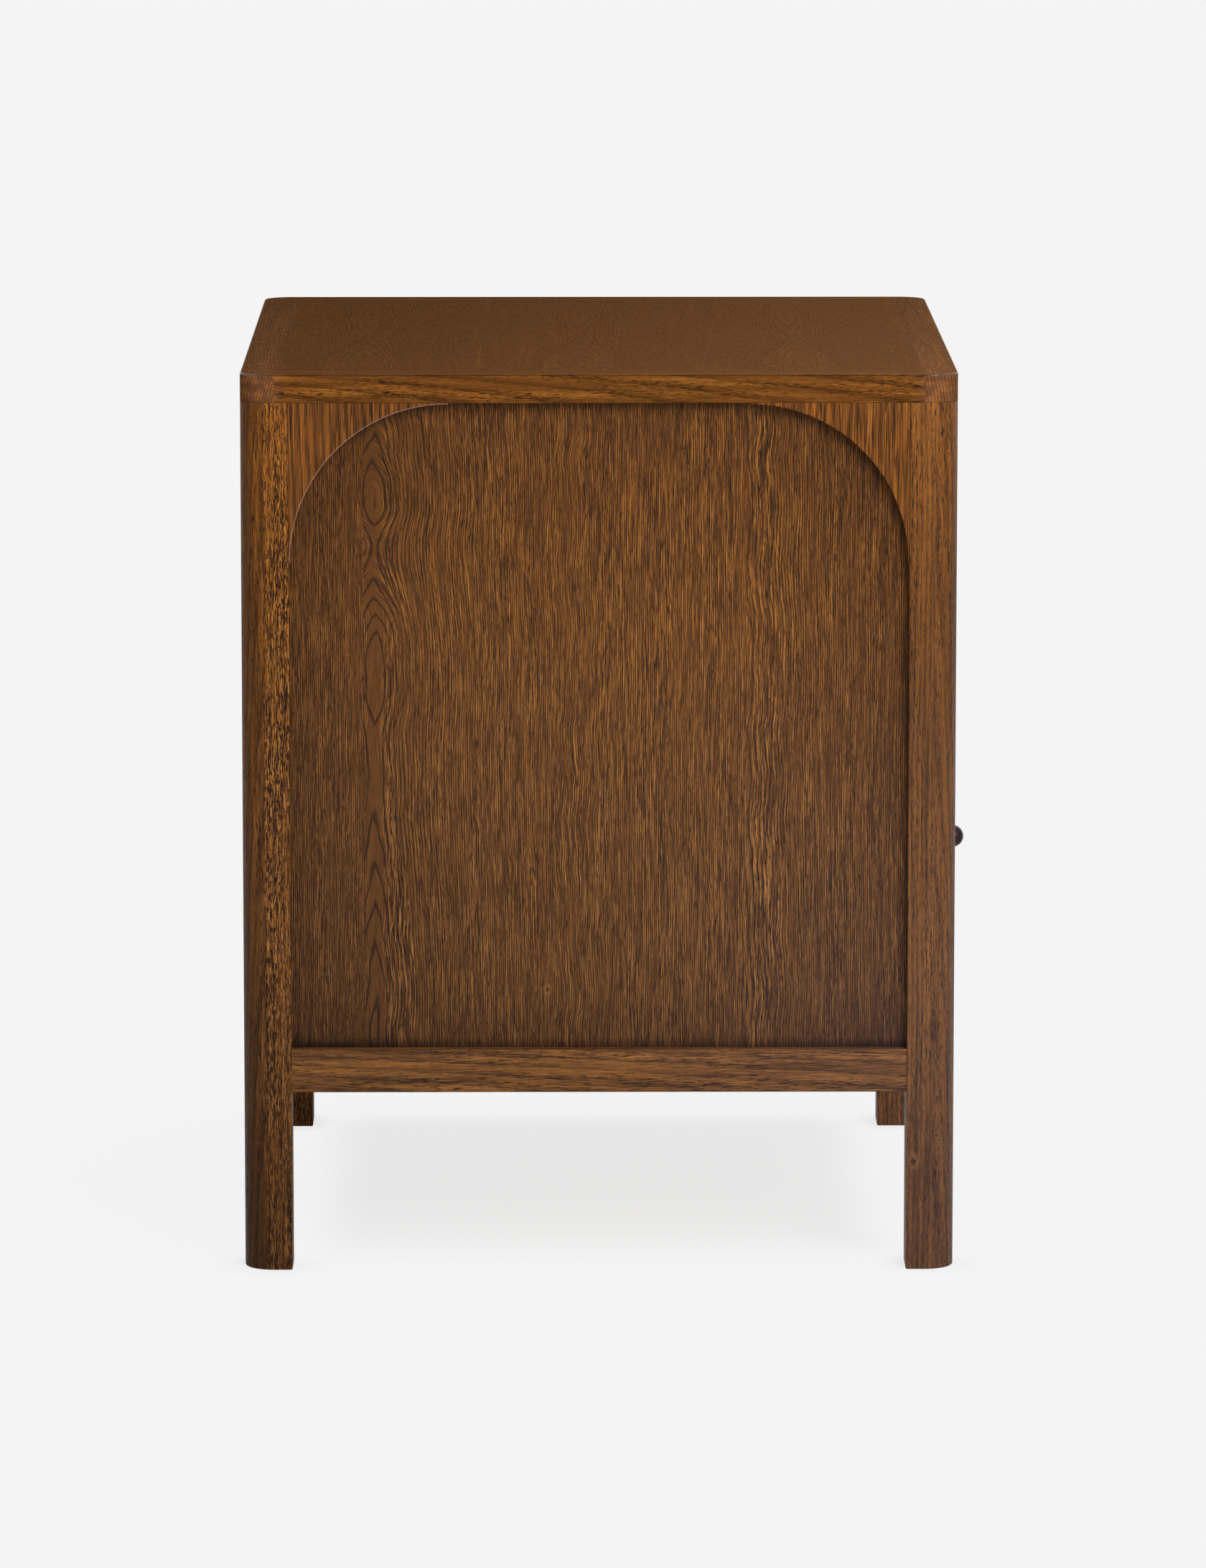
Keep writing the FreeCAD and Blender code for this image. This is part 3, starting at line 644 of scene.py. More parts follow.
def strips(name, axes, outer, inner, wood, gloss, toned=plain):
    """Finish for a leg glued up from two strips that were cut apart."""
    finish = Finish(bpy.data.materials.new(name))
    place = finish.place(axes)
    side = (place[0] - CASE_MIDDLE).size().above(STRIP_JOINT)
    inside, outside = [grain(finish, place, rings(finish, place, cut), cut, wood) for cut in (inner, outer)]
    colour = finish.mix(side, inside[0], outside[0])
    pores = inside[1] + side * (outside[1] - inside[1])
    relief = inside[2] + side * (outside[2] - inside[2])
    colour = toned(finish, knotted(finish, place, colour, inner, wood), wood)
    return lacquered(finish, (colour, pores, relief), wood, gloss)


def metal(name, dull, bright, roughness, streak):
    """Finish for a bare or plated metal, with faint drawn lines and patches."""
    finish = Finish(bpy.data.materials.new(name))
    place = finish.place("X Y Z")
    patches = finish.noise(place, METAL_PATCH)
    lines = finish.noise(place, METAL_LINE)
    colour = finish.mix(patches.rise(*PATCH_LEVELS), dull, bright)
    return finish.surface(colour, patches * PATCH_ROUGHNESS + roughness, lines, streak, Metallic=1.0)


def coat(material, *nodes):
    """Give CAD nodes one material."""
    for node in nodes:
        target = frame["nodes"][node]
        target.data.materials.clear()
        target.data.materials.append(material)


def clear():
    """Select nothing, so that the next operator acts only on what is added or chosen."""
    if bpy.context.object and bpy.context.object.mode == "EDIT":
        bpy.ops.object.mode_set(mode="OBJECT")
    bpy.ops.object.select_all(action="DESELECT")


def take(piece):
    """Make one piece the only selected and active one."""
    clear()
    piece.select_set(True)
    bpy.context.view_layer.objects.active = piece


def settle(piece, name, node, material):
    """Finish a new piece: normals out, place in its mesh, on the body of the node that it replaces."""
    take(piece)
    bpy.ops.object.transform_apply(location=True, rotation=True, scale=True)
    bpy.ops.object.mode_set(mode="EDIT")
    bpy.ops.mesh.select_all(action="SELECT")
    bpy.ops.mesh.remove_doubles(threshold=MERGE)
    bpy.ops.mesh.normals_make_consistent(inside=False)
    bpy.ops.object.mode_set(mode="OBJECT")
    bpy.ops.object.shade_smooth_by_angle(angle=SMOOTH_ANGLE)
    piece.name = name
    piece.data.materials.clear()
    piece.data.materials.append(material)
    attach(piece, frame["nodes"][node].parent.name.removeprefix("body:"))
    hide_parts(node)
    clear()
    return piece


def soften(node, width, chosen, material):
    """Replace a CAD board by a merged copy of it whose chosen arrises are rounded."""
    piece = bpy.data.objects.new(node + "_softened", frame["nodes"][node].data.copy())
    bpy.context.scene.collection.objects.link(piece)
    take(piece)
    bpy.ops.mesh.customdata_custom_splitnormals_clear()
    bpy.ops.object.mode_set(mode="EDIT")
    bpy.ops.mesh.select_all(action="SELECT")
    bpy.ops.mesh.remove_doubles(threshold=MERGE)
    bpy.ops.mesh.dissolve_limited(angle_limit=FLAT_ANGLE)
    bpy.ops.mesh.select_all(action="DESELECT")
    bpy.ops.mesh.select_mode(type="EDGE")
    mesh = bmesh.from_edit_mesh(piece.data)
    for edge in mesh.edges:
        if len(edge.link_faces) == 2 and edge.calc_face_angle() > SHARP_ANGLE:
            edge.select = chosen(edge, *[face.normal for face in edge.link_faces])
    bmesh.update_edit_mesh(piece.data)
    bpy.ops.mesh.bevel(offset=width * MM, offset_type="OFFSET", segments=ARRIS_STEPS, affect="EDGES")
    bpy.ops.object.mode_set(mode="OBJECT")
    return settle(piece, node + "_softened", node, material)


# An edge longer than this in metres runs along a board, and one lower than this is on the floor
LONG_EDGE = 0.1
FLOOR_EDGE = 0.1 * MM

# How much the normals of the slopes at the slab and the drawer's face, and of the arch, turn up, out or down
SLAB_SLOPE = (0.3, 0.95)
FACE_SLOPE = (-0.95, -0.3)
ARCH_SLOPE = (-0.97, -0.25)
UPRIGHT = 0.01


def leg_arris(edge, first, second):
    """True on the long edges of a leg and on the rim of its foot."""
    low, high = sorted(corner.co.z for corner in edge.verts)
    return high - low > LONG_EDGE or high < FLOOR_EDGE


def upper_arris(edge, first, second):
    """True on both edges of the small slope round the top of the slab."""
    return any(SLAB_SLOPE[0] < face.z < SLAB_SLOPE[1] for face in (first, second))


def arch_arris(edge, first, second):
    """True where the arch meets the outer face of a spandrel, except at its thin ends."""
    upright = any(abs(face.z) < UPRIGHT for face in (first, second))
    arched = any(ARCH_SLOPE[0] < face.z < ARCH_SLOPE[1] for face in (first, second))
    return upright and arched


def long_arris(edge, first, second):
    """True on every long edge of a board."""
    return edge.calc_length() > LONG_EDGE


def sloped_arris(edge, first, second):
    """True on the edges of the slope round the front of the drawer's face."""
    return any(FACE_SLOPE[0] < face.y < FACE_SLOPE[1] for face in (first, second))


def arc(centre, size, start, end, steps):
    """Points on an elliptical arc of a profile, from one angle to another."""
    points = []
    for step in range(steps + 1):
        angle = start + (end - start) * step / steps
        points.append((centre[0] + size[0] * math.cos(angle), centre[1] + size[1] * math.sin(angle)))
    return points


def turned(seat, direction, profile, sides):
    """Turn a piece as on a lathe: a disc drawn out along its axis and resized at each step of a profile."""
    radius, height = profile[0]
    turn = direction.to_track_quat("Z", "Y").to_euler()
    clear()
    bpy.ops.mesh.primitive_circle_add(
        vertices=sides,
        radius=radius * MM,
        fill_type="NGON",
        location=seat + direction * (height * MM),
        rotation=turn,
        enter_editmode=True,
    )
    for next_radius, next_height in profile[1:]:
        step = direction * ((next_height - height) * MM)
        bpy.ops.mesh.extrude_region_move(TRANSFORM_OT_translate={"value": step})
        factor = next_radius / radius
        centre = seat + direction * (next_height * MM)
        bpy.ops.transform.resize(value=(factor, factor, factor), center_override=centre)
        radius, height = next_radius, next_height
    bpy.ops.object.mode_set(mode="OBJECT")
    return bpy.context.object


# Cross recess of a screw: span as a share of the head's radius, width of a bar as a share of its span, and
# height of the bars in millimetres, half of it in the head
RECESS_SPAN = 1.7
RECESS_BAR = 0.24
RECESS_HEIGHT = 2.2

# Sides of a turned screw
SCREW_SIDES = 32


def cut_recess(screw, seat, direction, head, span):
    """Cut a cross recess into a screw's head with two crossed bars."""
    turn = direction.to_track_quat("Z", "Y").to_euler()
    bar = RECESS_BAR * span
    for size in ((span, bar), (bar, span)):
        clear()
        bpy.ops.mesh.primitive_cube_add(size=1, location=seat + direction * head * MM, rotation=turn)
        cutter = bpy.context.object
        cutter.scale = (size[0] * MM, size[1] * MM, RECESS_HEIGHT * MM)
        bpy.ops.object.transform_apply(location=True, rotation=True, scale=True)
        take(screw)
        cut = screw.modifiers.new("recess", "BOOLEAN")
        cut.operation = "DIFFERENCE"
        cut.solver = "EXACT"
        cut.object = cutter
        bpy.ops.object.modifier_apply(modifier=cut.name)
        bpy.data.objects.remove(cutter)


def screws(name, node, places, direction, profile, material):
    """Model one screw at the first place, copy it to the others, and join them in one piece."""
    seat = Vector(places[0]) * MM
    radius, head = profile[-1]
    first = turned(seat, direction, profile, SCREW_SIDES)
    cut_recess(first, seat, direction, head, radius * RECESS_SPAN)
    made = [first]
    for place in places[1:]:
        take(first)
        bpy.ops.object.duplicate_move(TRANSFORM_OT_translate={"value": Vector(place) * MM - seat})
        made.append(bpy.context.object)
    clear()
    for screw in made:
        screw.select_set(True)
    bpy.context.view_layer.objects.active = first
    if len(made) > 1:
        bpy.ops.object.join()
    return settle(bpy.context.object, name, node, material)


class OakSettings(bpy.types.PropertyGroup):
    """Colours and surface of the stained oak."""

    light: colour_setting("Light", "Open ground of the stained oak", 128, 80, 34)
    deep: colour_setting("Deep", "Darker ground of the stained oak", 92, 56, 24)
    gold: colour_setting("Gold", "Flecks that took little stain", 165, 111, 54)
    dark: colour_setting("Dark", "Early wood that took more stain", 58, 35, 17)
    pore: colour_setting("Pore", "Open pores filled with stain", 34, 20, 12)
    # Warm glaze: painted warmer light high on the case and on the slab's face, and a warmer tint on the
    # spandrels
    warm: colour_setting("Warm glaze", "Tint of the stain high on the case", 255, 244, 204)
    # Grey glaze: painted greyer shade and bluish sheen low on the case
    grey: colour_setting("Grey glaze", "Tint of the stain low on the case", 214, 222, 255)
    # Painted sheen: a bluish reflection laid into the colour low at the front and at the slab's corners
    painted_sheen: colour_setting("Haze", "Bluish light that the lacquer gives back at a low angle", 160, 160, 190)
    # Stain: painted shade round the recessed side panels and towards the feet of the legs, and darker
    # spandrels at the back
    stain: colour_setting("Stain", "Tint of stain that gathered in a corner", 120, 112, 118)
    # Painted highlight: a pale line along the arris of the arch
    painted_highlight: colour_setting("Worn", "Arris where the stain is rubbed through", 132, 100, 84)
    top: colour_setting("Top", "Filled grain of the slab's upper face", 129, 89, 58)
    roughness: share_setting("Roughness", "Roughness of the satin lacquer", 0.44)
    gloss: share_setting("Gloss", "Mirror reflection of the lacquer", 0.1)
    front_leg_gloss: share_setting("Front leg gloss", "Mirror reflection of the front legs", 0.12)
    back_leg_gloss: share_setting("Back leg gloss", "Mirror reflection of the back legs", 0.06)
    top_gloss: share_setting("Top gloss", "Mirror reflection of the top's dull lacquer", 0.0)
    relief: length_setting("Relief", "Depth of the open pores", 0.12)


class BoxSettings(bpy.types.PropertyGroup):
    """Colours and surface of the drawer box's pale wood."""

    light: colour_setting("Light", "Open ground of the pale wood", 214, 184, 142)
    deep: colour_setting("Deep", "Darker ground of the pale wood", 196, 160, 116)
    gold: colour_setting("Gold", "Bright flecks", 226, 202, 164)
    dark: colour_setting("Dark", "Ring lines", 166, 126, 84)
    pore: colour_setting("Pore", "Fine pores", 132, 96, 62)
    roughness: share_setting("Roughness", "Roughness of the clear lacquer", 0.5)
    gloss: share_setting("Gloss", "Mirror reflection of the lacquer", 0.35)
    relief: length_setting("Relief", "Depth of the pores", 0.03)


class MetalSettings(bpy.types.PropertyGroup):
    """Colours of the knob, the screws and the slides."""

    zinc_light: colour_setting("Zinc, light", "Bright patches of the plated steel", 196, 198, 202)
    zinc_deep: colour_setting("Zinc, deep", "Dull patches of the plated steel", 150, 153, 158)
    bronze_light: colour_setting("Bronze, light", "Rubbed places on the knob", 74, 58, 62)
    bronze_deep: colour_setting("Bronze, deep", "Dark ground of the knob", 34, 26, 32)


class KnobSettings(bpy.types.PropertyGroup):
    """Sizes of the turned knob."""

    length: length_setting("Length", "From the drawer's face to the crown", 27.0)
    ball: length_setting("Ball", "Radius of the ball", 7.5)
    neck: length_setting("Neck", "Radius of the neck", 3.6)
    base: length_setting("Base", "Radius of the base", 7.0)
    base_height: length_setting("Base height", "Height of the base", 2.0)
    cove: length_setting("Cove", "Height of the hollow over the base", 5.5)
    crown: length_setting("Crown", "Radius of the flat crown", 1.2)


class StageSettings(bpy.types.PropertyGroup):
    """Floor, light and camera."""

    backdrop: colour_setting("Backdrop", "Floor and background", 244, 244, 244)
    shadow: share_setting("Shadow", "Share of the floor's own shading that shows", 0.21)
    paint: share_setting("Paint", "How pale the floor's own shading is", 0.5)
    bounce: share_setting("Bounce", "How much light the floor gives back to the piece", 0.9)
    ambient: share_setting("Ambient", "Strength of the light from all round", 0.52)
    key: bpy.props.FloatProperty(
        name="Key", description="Power of the key light", default=70.0, min=0.0, unit="POWER"
    )
    key_size: bpy.props.FloatProperty(
        name="Key size", description="Width of the key light", default=1.3, subtype="DISTANCE", unit="LENGTH"
    )
    key_place: bpy.props.FloatVectorProperty(
        name="Key place",
        description="Middle of the key light",
        default=(-2.15, -0.85, 1.7),
        subtype="TRANSLATION",
    )


class NightstandSettings(bpy.types.PropertyGroup):
    """All settings of the nightstand."""

    oak: bpy.props.PointerProperty(type=OakSettings)
    box: bpy.props.PointerProperty(type=BoxSettings)
    metal: bpy.props.PointerProperty(type=MetalSettings)
    knob: bpy.props.PointerProperty(type=KnobSettings)
    stage: bpy.props.PointerProperty(type=StageSettings)


# Stretches of the top's and the shelf's veneer that lie deeper in the log, from front to back
LEVEL_SWELLS = ((-260, 0, 9), (0, 120, -3), (120, 280, 7))

# Leaves of veneer: width of one, start of the first, and where its heart lies in it
LEVEL_LEAF = (140.0, -190.0, 70.0)
SIDE_LEAF = (122.3, -158.8, 7.0)
BACK_LEAF = (148.7, -223.0, 74.0)

# Widths of the arrises that are softened at the slab, the drawer's face and the other boards
SLAB_ARRIS = 0.35
FACE_ARRIS = 0.3
BOARD_ARRIS = 0.5


class NIGHTSTAND_OT_top(bpy.types.Operator):
    """Finish the slab: a veneered board with a solid lipping on each side"""

    bl_idname = "nightstand.top"
    bl_label = "Top"

    def execute(self, context):
        oak = context.scene.nightstand.oak
        quiet = Cut(
            swells=LEVEL_SWELLS, ring=1.6, pore=(0.3, 6), open=0.1, lines=0.9, flecks=0.35, tone=0.3, turn=31
        )
        board = veneered("top_board_oak", "Y Z X", LEVEL_LEAF, quiet, oak, oak.top_gloss, top_tone_and_light)
        coat(board, "top_board")
        for side, turn in (("left", 0.0), ("right", 6.2)):
            calm = Cut(
                pith=(546, -200), slope=0.05, ring=3.4, pore=(0.4, 6), lines=0.4, flecks=0.2, patchy=0.7,
                tone=0.41, turn=turn,
            )
            self.finish_lipping(side, "Z X Y", calm, oak)
        for end, pith, turn in (("front", (-60, 556), 2.4), ("back", (107, 546), 9.1)):
            grown = Cut(
                pith=pith, slope=0.0, ring=2.0, jag=0.5, open=0.3, bands=0.6, tone=0.45, ends=(236, 252),
                turn=turn,
            )
            self.finish_lipping(end, "Y Z X", grown, oak)
        return {"FINISHED"}

    def finish_lipping(self, side, axes, cut, oak):
        """Soften one lipping and give it its own figure."""
        name = "top_lipping_" + side
        material = solid(name + "_oak", axes, cut, oak, oak.top_gloss, top_tone_and_light, edge_lacquer)
        soften(name, SLAB_ARRIS, upper_arris, material)


def back_leg_strips(x, turn):
    """Calm outer and coarse, gold-flecked inner strip of a back leg."""
    outer = Cut(pith=(232, 5 * x), ring=3.6, open=0.2, flecks=0.3, tone=0.42, turn=turn + 5)
    inner = Cut(
        pith=(150, x), ring=4.2, pore=(0.6, 4), open=1.1, bands=0.3, lines=0.7, flecks=1.0, patchy=0.3,
        tone=0.9, turn=turn,
    )
    return outer, inner


def front_leg_strips(x, turn):
    """Calm outer strip of a front leg, and its inner one with knots near the foot."""
    outer = Cut(
        pith=(-210, 4 * x), ring=4.0, open=0.15, bands=0.35, lines=0.5, flecks=0.25, tone=0.48, turn=turn + 9
    )
    inner = Cut(
        pith=(-60, x), ring=3.2, pore=(0.45, 6), open=0.28, bands=0.4, lines=0.5, flecks=0.25, tone=0.56,
        knots=((-208.4, 88, 1.1), (-208.9, 82, 0.8), (-193.6, 71, 2.4)), turn=turn + 2,
    )
    return outer, inner


class NIGHTSTAND_OT_legs(bpy.types.Operator):
    """Finish the four legs, each glued up from two strips"""

    bl_idname = "nightstand.legs"
    bl_label = "Legs"

    def execute(self, context):
        oak = context.scene.nightstand.oak
        ends = (
            ("front", front_leg_strips, oak.front_leg_gloss),
            ("back", back_leg_strips, oak.back_leg_gloss),
        )
        sides = (("left", -240, 3.7, leg_painted_shade), ("right", 240, 17.3, painted_height_light))
        for end, cut_strips, gloss in ends:
            for side, x, turn, toned in sides:
                node = f"leg_{end}_{side}"
                outer, inner = cut_strips(x, turn)
                material = strips(node + "_oak", "Y X Z", outer, inner, oak, gloss, toned)
                soften(node, BOARD_ARRIS, leg_arris, material)
        return {"FINISHED"}


class NIGHTSTAND_OT_spandrels(bpy.types.Operator):
    """Finish the six spandrels that make the arches"""

    bl_idname = "nightstand.spandrels"
    bl_label = "Spandrels"

    def execute(self, context):
        oak = context.scene.nightstand.oak
        nodes = [name for name in frame["nodes"] if "spandrel" in name and "dowel" not in name]
        for index, node in enumerate(nodes):
            axes = "X Y Z" if node.startswith("front") else "Y X Z"
            cut = Cut(
                pith=(20, -90), ring=3.8, pore=(0.6, 20), open=0.6, bands=0.6, lines=0.4, flecks=0.45,
                patchy=0.4, tone=0.46, turn=4.3 * index,
            )
            material = solid(node + "_oak", axes, cut, oak, toned=spandrel_painted_light)
            soften(node, BOARD_ARRIS, arch_arris, material)
        return {"FINISHED"}


# Stretches of the side panels' and the back's veneer that lie deeper in the log, from the foot upwards
SIDE_SWELLS = ((150, 330, 6.5), (345, 375, -1.5), (395, 470, 6.5), (470, 495, -2.5), (503, 560, 3.5))
BACK_SWELLS = ((60, 330, 12), (330, 420, -3), (420, 600, 9))


class NIGHTSTAND_OT_panels(bpy.types.Operator):
    """Finish the side panels and the back in slip-matched veneer"""

    bl_idname = "nightstand.panels"
    bl_label = "Panels"

    def execute(self, context):
        oak = context.scene.nightstand.oak
        for index, side in enumerate(("left", "right")):
            cut = Cut(
                swells=SIDE_SWELLS, wander=1.2, ring=1.4, jag=0.5, pore=(0.26, 7), open=0.3, early=0.36,
                gather=0.2, bands=0.85, lines=1.0, flecks=0.7, patchy=0.3, tone=0.25, spread=0.3,
                quiet=0.95, knots=((-41.8, 181.8, 1.6),), turn=23 + 7 * index,
            )
            node = "side_panel_" + side
            coat(veneered(node + "_oak", "-Y X Z", SIDE_LEAF, cut, oak, toned=panel_painted_shade), node)
        cut = Cut(
            swells=BACK_SWELLS, wander=3, ring=1.6, jag=0.5, pore=(0.38, 7), open=0.3, bands=0.5, turn=53
        )
        coat(veneered("back_panel_oak", "X Y Z", BACK_LEAF, cut, oak), "back_panel")
        return {"FINISHED"}


# Pale wood of the case bottom and the drawer's floor
PLY = Cut(ring=5.0, open=0.1, bands=0.3, flecks=0.3)


class NIGHTSTAND_OT_rails(bpy.types.Operator):
    """Finish the four bottom rails and the case bottom"""

    bl_idname = "nightstand.rails"
    bl_label = "Rails"

    def execute(self, context):
        oak = context.scene.nightstand.oak
        for index, side in enumerate(("left", "right", "front", "back")):
            cut = Cut(
                pith=(96, -190), slope=0.03, ring=3.4, pore=(0.4, 7), open=0.35, bands=0.4, lines=0.6,
                flecks=0.4, tone=0.52, turn=6 * index,
            )
            axes = "Z X Y" if side in ("left", "right") else "Z Y X"
            node = "rail_" + side
            soften(node, BOARD_ARRIS, long_arris, solid(node + "_oak", axes, cut, oak, toned=painted_height_light))
        bottom = PLY.changed(pith=(30, 40), slope=0.0, turn=71)
        coat(solid("case_bottom_wood", "Y Z X", bottom, context.scene.nightstand.box), "case_bottom")
        return {"FINISHED"}


class NIGHTSTAND_OT_shelf(bpy.types.Operator):
    """Finish the shelf and its front lipping"""

    bl_idname = "nightstand.shelf"
    bl_label = "Shelf"

    def execute(self, context):
        oak = context.scene.nightstand.oak
        quiet = Cut(
            swells=LEVEL_SWELLS, ring=1.5, pore=(0.35, 7), open=0.2, bands=0.4, flecks=0.35, tone=0.45,
            turn=37,
        )
        coat(veneered("shelf_oak", "Y Z X", LEVEL_LEAF, quiet, oak), "shelf")
        cut = Cut(pith=(300, -160), ring=3.4, open=0.6, tone=0.55, turn=43)
        soften("shelf_lipping", BOARD_ARRIS, long_arris, solid("shelf_lipping_oak", "Z Y X", cut, oak))
        return {"FINISHED"}


class NIGHTSTAND_OT_drawer(bpy.types.Operator):
    """Finish the drawer's face and its box of pale wood"""

    bl_idname = "nightstand.drawer"
    bl_label = "Drawer"

    def execute(self, context):
        oak, box_wood = context.scene.nightstand.oak, context.scene.nightstand.box
        face = Cut(pith=(232, -150), slope=0.09, swing=(4, 260, 40), ring=4.2, bands=0.5, flecks=0.5, turn=61)
        soften("drawer_face", FACE_ARRIS, sloped_arris, solid("drawer_face_oak", "Z Y X", face, oak))
        nodes = ("drawer_box_front", "drawer_box_back", "drawer_side_left", "drawer_side_right")
        for index, node in enumerate(nodes):
            axes = "Z Y X" if "box" in node else "Z X Y"
            cut = Cut(pith=(180, 40 * index - 90), ring=3.6, open=0.1, flecks=0.3, turn=9 * index)
            coat(solid(node + "_wood", axes, cut, box_wood), node)
        floor = PLY.changed(pith=(30, 90), slope=0.05, turn=81)
        coat(solid("drawer_floor_wood", "Y Z X", floor, box_wood), "drawer_floor")
        return {"FINISHED"}


class NIGHTSTAND_OT_dowels(bpy.types.Operator):
    """Finish the dowels in pale beech"""

    bl_idname = "nightstand.dowels"
    bl_label = "Dowels"

    def execute(self, context):
        cut = Cut(ring=2.0, open=0.2, flecks=0.4, pore=(0.2, 2.5), turn=91)
        beech = solid("dowel_beech", "X Y Z", cut, context.scene.nightstand.box)
        coat(beech, "top_dowels", "spandrel_dowels", "shelf_dowels")
        return {"FINISHED"}


class NIGHTSTAND_OT_slides(bpy.types.Operator):
    """Finish the six members of the drawer's slides in plated steel"""

    bl_idname = "nightstand.slides"
    bl_label = "Slides"

    def execute(self, context):
        zinc = context.scene.nightstand.metal
        steel = metal("slide_steel", zinc.zinc_deep, zinc.zinc_light, roughness=0.3, streak=0.01)
        coat(steel, *[node for node in frame["nodes"] if node.startswith("slide_") and "screws" not in node])
        return {"FINISHED"}


# Screws: inner side of the box's front and outer side of the back, where they sit, how far the screws of the
# drawer's face and of the back stand to each side of the middle, and the heights of the face's screws
FRONT_INSIDE = box("drawer_box_front")[1][1]
BACK_OUTSIDE = box("back_panel")[1][1]
FACE_SCREW_RUN = 130.4
BACK_SCREW_RUN = 178.4
FACE_SCREW_HEIGHTS = (189.2, 270.2)

# Outlines of the screws, as radius and height over the seat: the domed head, and the whole of a flat screw
DOME = ((2.0, 0), (3.85, 0), (4.0, -0.4), (3.85, -1.1), (3.4, -1.75), (2.7, -2.2), (2.3, -2.35))
FACE_SCREW = ((0.9, 24.9), (2.0, 23), *DOME)
KNOB_SCREW = ((1.7, 41.8), (2.0, 41.3), *DOME)
BACK_SCREW = ((0.9, 34.9), (2.0, 33), (2.0, 2.0), (3.95, 0.05), (3.4, 0.02))


class NIGHTSTAND_OT_screws(bpy.types.Operator):
    """Model the screws, with a cross recess in each head"""

    bl_idname = "nightstand.screws"
    bl_label = "Screws"

    def execute(self, context):
        zinc = context.scene.nightstand.metal
        steel = metal("screw_steel", zinc.zinc_deep, zinc.zinc_light, roughness=0.28, streak=0.01)
        forward = Vector((0, -1, 0))
        knob_place = (0, FRONT_INSIDE, middle("knob")[2])
        shelf_height = middle("shelf")[2]
        runs = (-FACE_SCREW_RUN, FACE_SCREW_RUN)
        face_places = [(x, FRONT_INSIDE, z) for x in runs for z in FACE_SCREW_HEIGHTS]
        back_places = [(x, BACK_OUTSIDE, shelf_height) for x in (-BACK_SCREW_RUN, 0, BACK_SCREW_RUN)]
        screws("face_screw_set", "drawer_face_screws", face_places, forward, FACE_SCREW, steel)
        screws("knob_machine_screw", "knob_screw", [knob_place], forward, KNOB_SCREW, steel)
        screws("back_screw_set", "back_screws", back_places, forward, BACK_SCREW, steel)
        coat(steel, "case_bottom_screws", "slide_case_screws", "slide_drawer_screws")
        return {"FINISHED"}


# Sides of the turned knob, and steps in the arcs of its cove and its ball
KNOB_SIDES = 96
COVE_STEPS = 14
BALL_STEPS = 30


class NIGHTSTAND_OT_knob(bpy.types.Operator):
    """Turn the knob: a flat base, a coved neck and a ball"""

    bl_idname = "nightstand.knob"
    bl_label = "Knob"

    def execute(self, context):
        size = context.scene.nightstand.knob
        bronze = context.scene.nightstand.metal
        neck = math.acos(size.neck / size.ball)
        crown = math.acos(size.crown / size.ball)
        cove = (size.base - size.neck, size.cove)
        profile = [(size.base, 0.0)]
        profile += arc((size.base, size.base_height + size.cove), cove, -math.pi / 2, -math.pi, COVE_STEPS)
        centre = (0.0, size.length - size.ball * math.sin(crown))
        profile += arc(centre, (size.ball, size.ball), -neck, crown, BALL_STEPS)[1:]
        profile.append((size.crown / 2, size.length))
        seat = Vector((0, box("knob")[1][1], middle("knob")[2])) * MM
        knob = turned(seat, Vector((0, -1, 0)), profile, KNOB_SIDES)
        material = metal("knob_metal", bronze.bronze_deep, bronze.bronze_light, roughness=0.05, streak=0.0)
        settle(knob, "knob_turned", "knob", material)
        return {"FINISHED"}


class NIGHTSTAND_OT_stage(bpy.types.Operator):
    """Set up the floor, the light and the camera"""

    bl_idname = "nightstand.stage"
    bl_label = "Stage"

    def execute(self, context):
        stage = context.scene.nightstand.stage
        make_world(context.scene, stage)
        make_floor(stage)
        make_key(context.scene, stage)
        make_camera(context.scene)
        return {"FINISHED"}


def seen_directly(finish):
    """1 for what the camera, a mirror or glass shows, and 0 for light that is scattered."""
    kinds = ("Camera", "Glossy", "Transmission")
    camera, mirror, glass = [finish.node("ShaderNodeLightPath", output=f"Is {kind} Ray") for kind in kinds]
    return camera.most(mirror).most(glass)


def make_world(scene, stage):
    """Even light from all round, which shows as the backdrop."""
    world = bpy.data.worlds.new("studio")
    scene.world = world
    finish = Finish(world)
    background = finish.nodes["Background"]
    background.inputs["Color"].default_value = stage.backdrop
    finish.feed(background.inputs["Strength"], seen_directly(finish) * (1 - stage.ambient) + stage.ambient)


# Width of the floor in metres, and how bright the lights make a white one
FLOOR_SIZE = 80.0
FLOOR_LIGHT = 1.25

# Where the floor keeps its shading, from and to in millimetres: under the piece to its front and back, from
# its left and its right, round each foot, and round the whole at a small share
UNDER_DEPTH = (215, 150)
UNDER_LEFT = (-262, -165)
UNDER_RIGHT = (300, 215)
FOOT_REACH = (50, 12)
ROUND_REACH = (540, 220, 0.25)


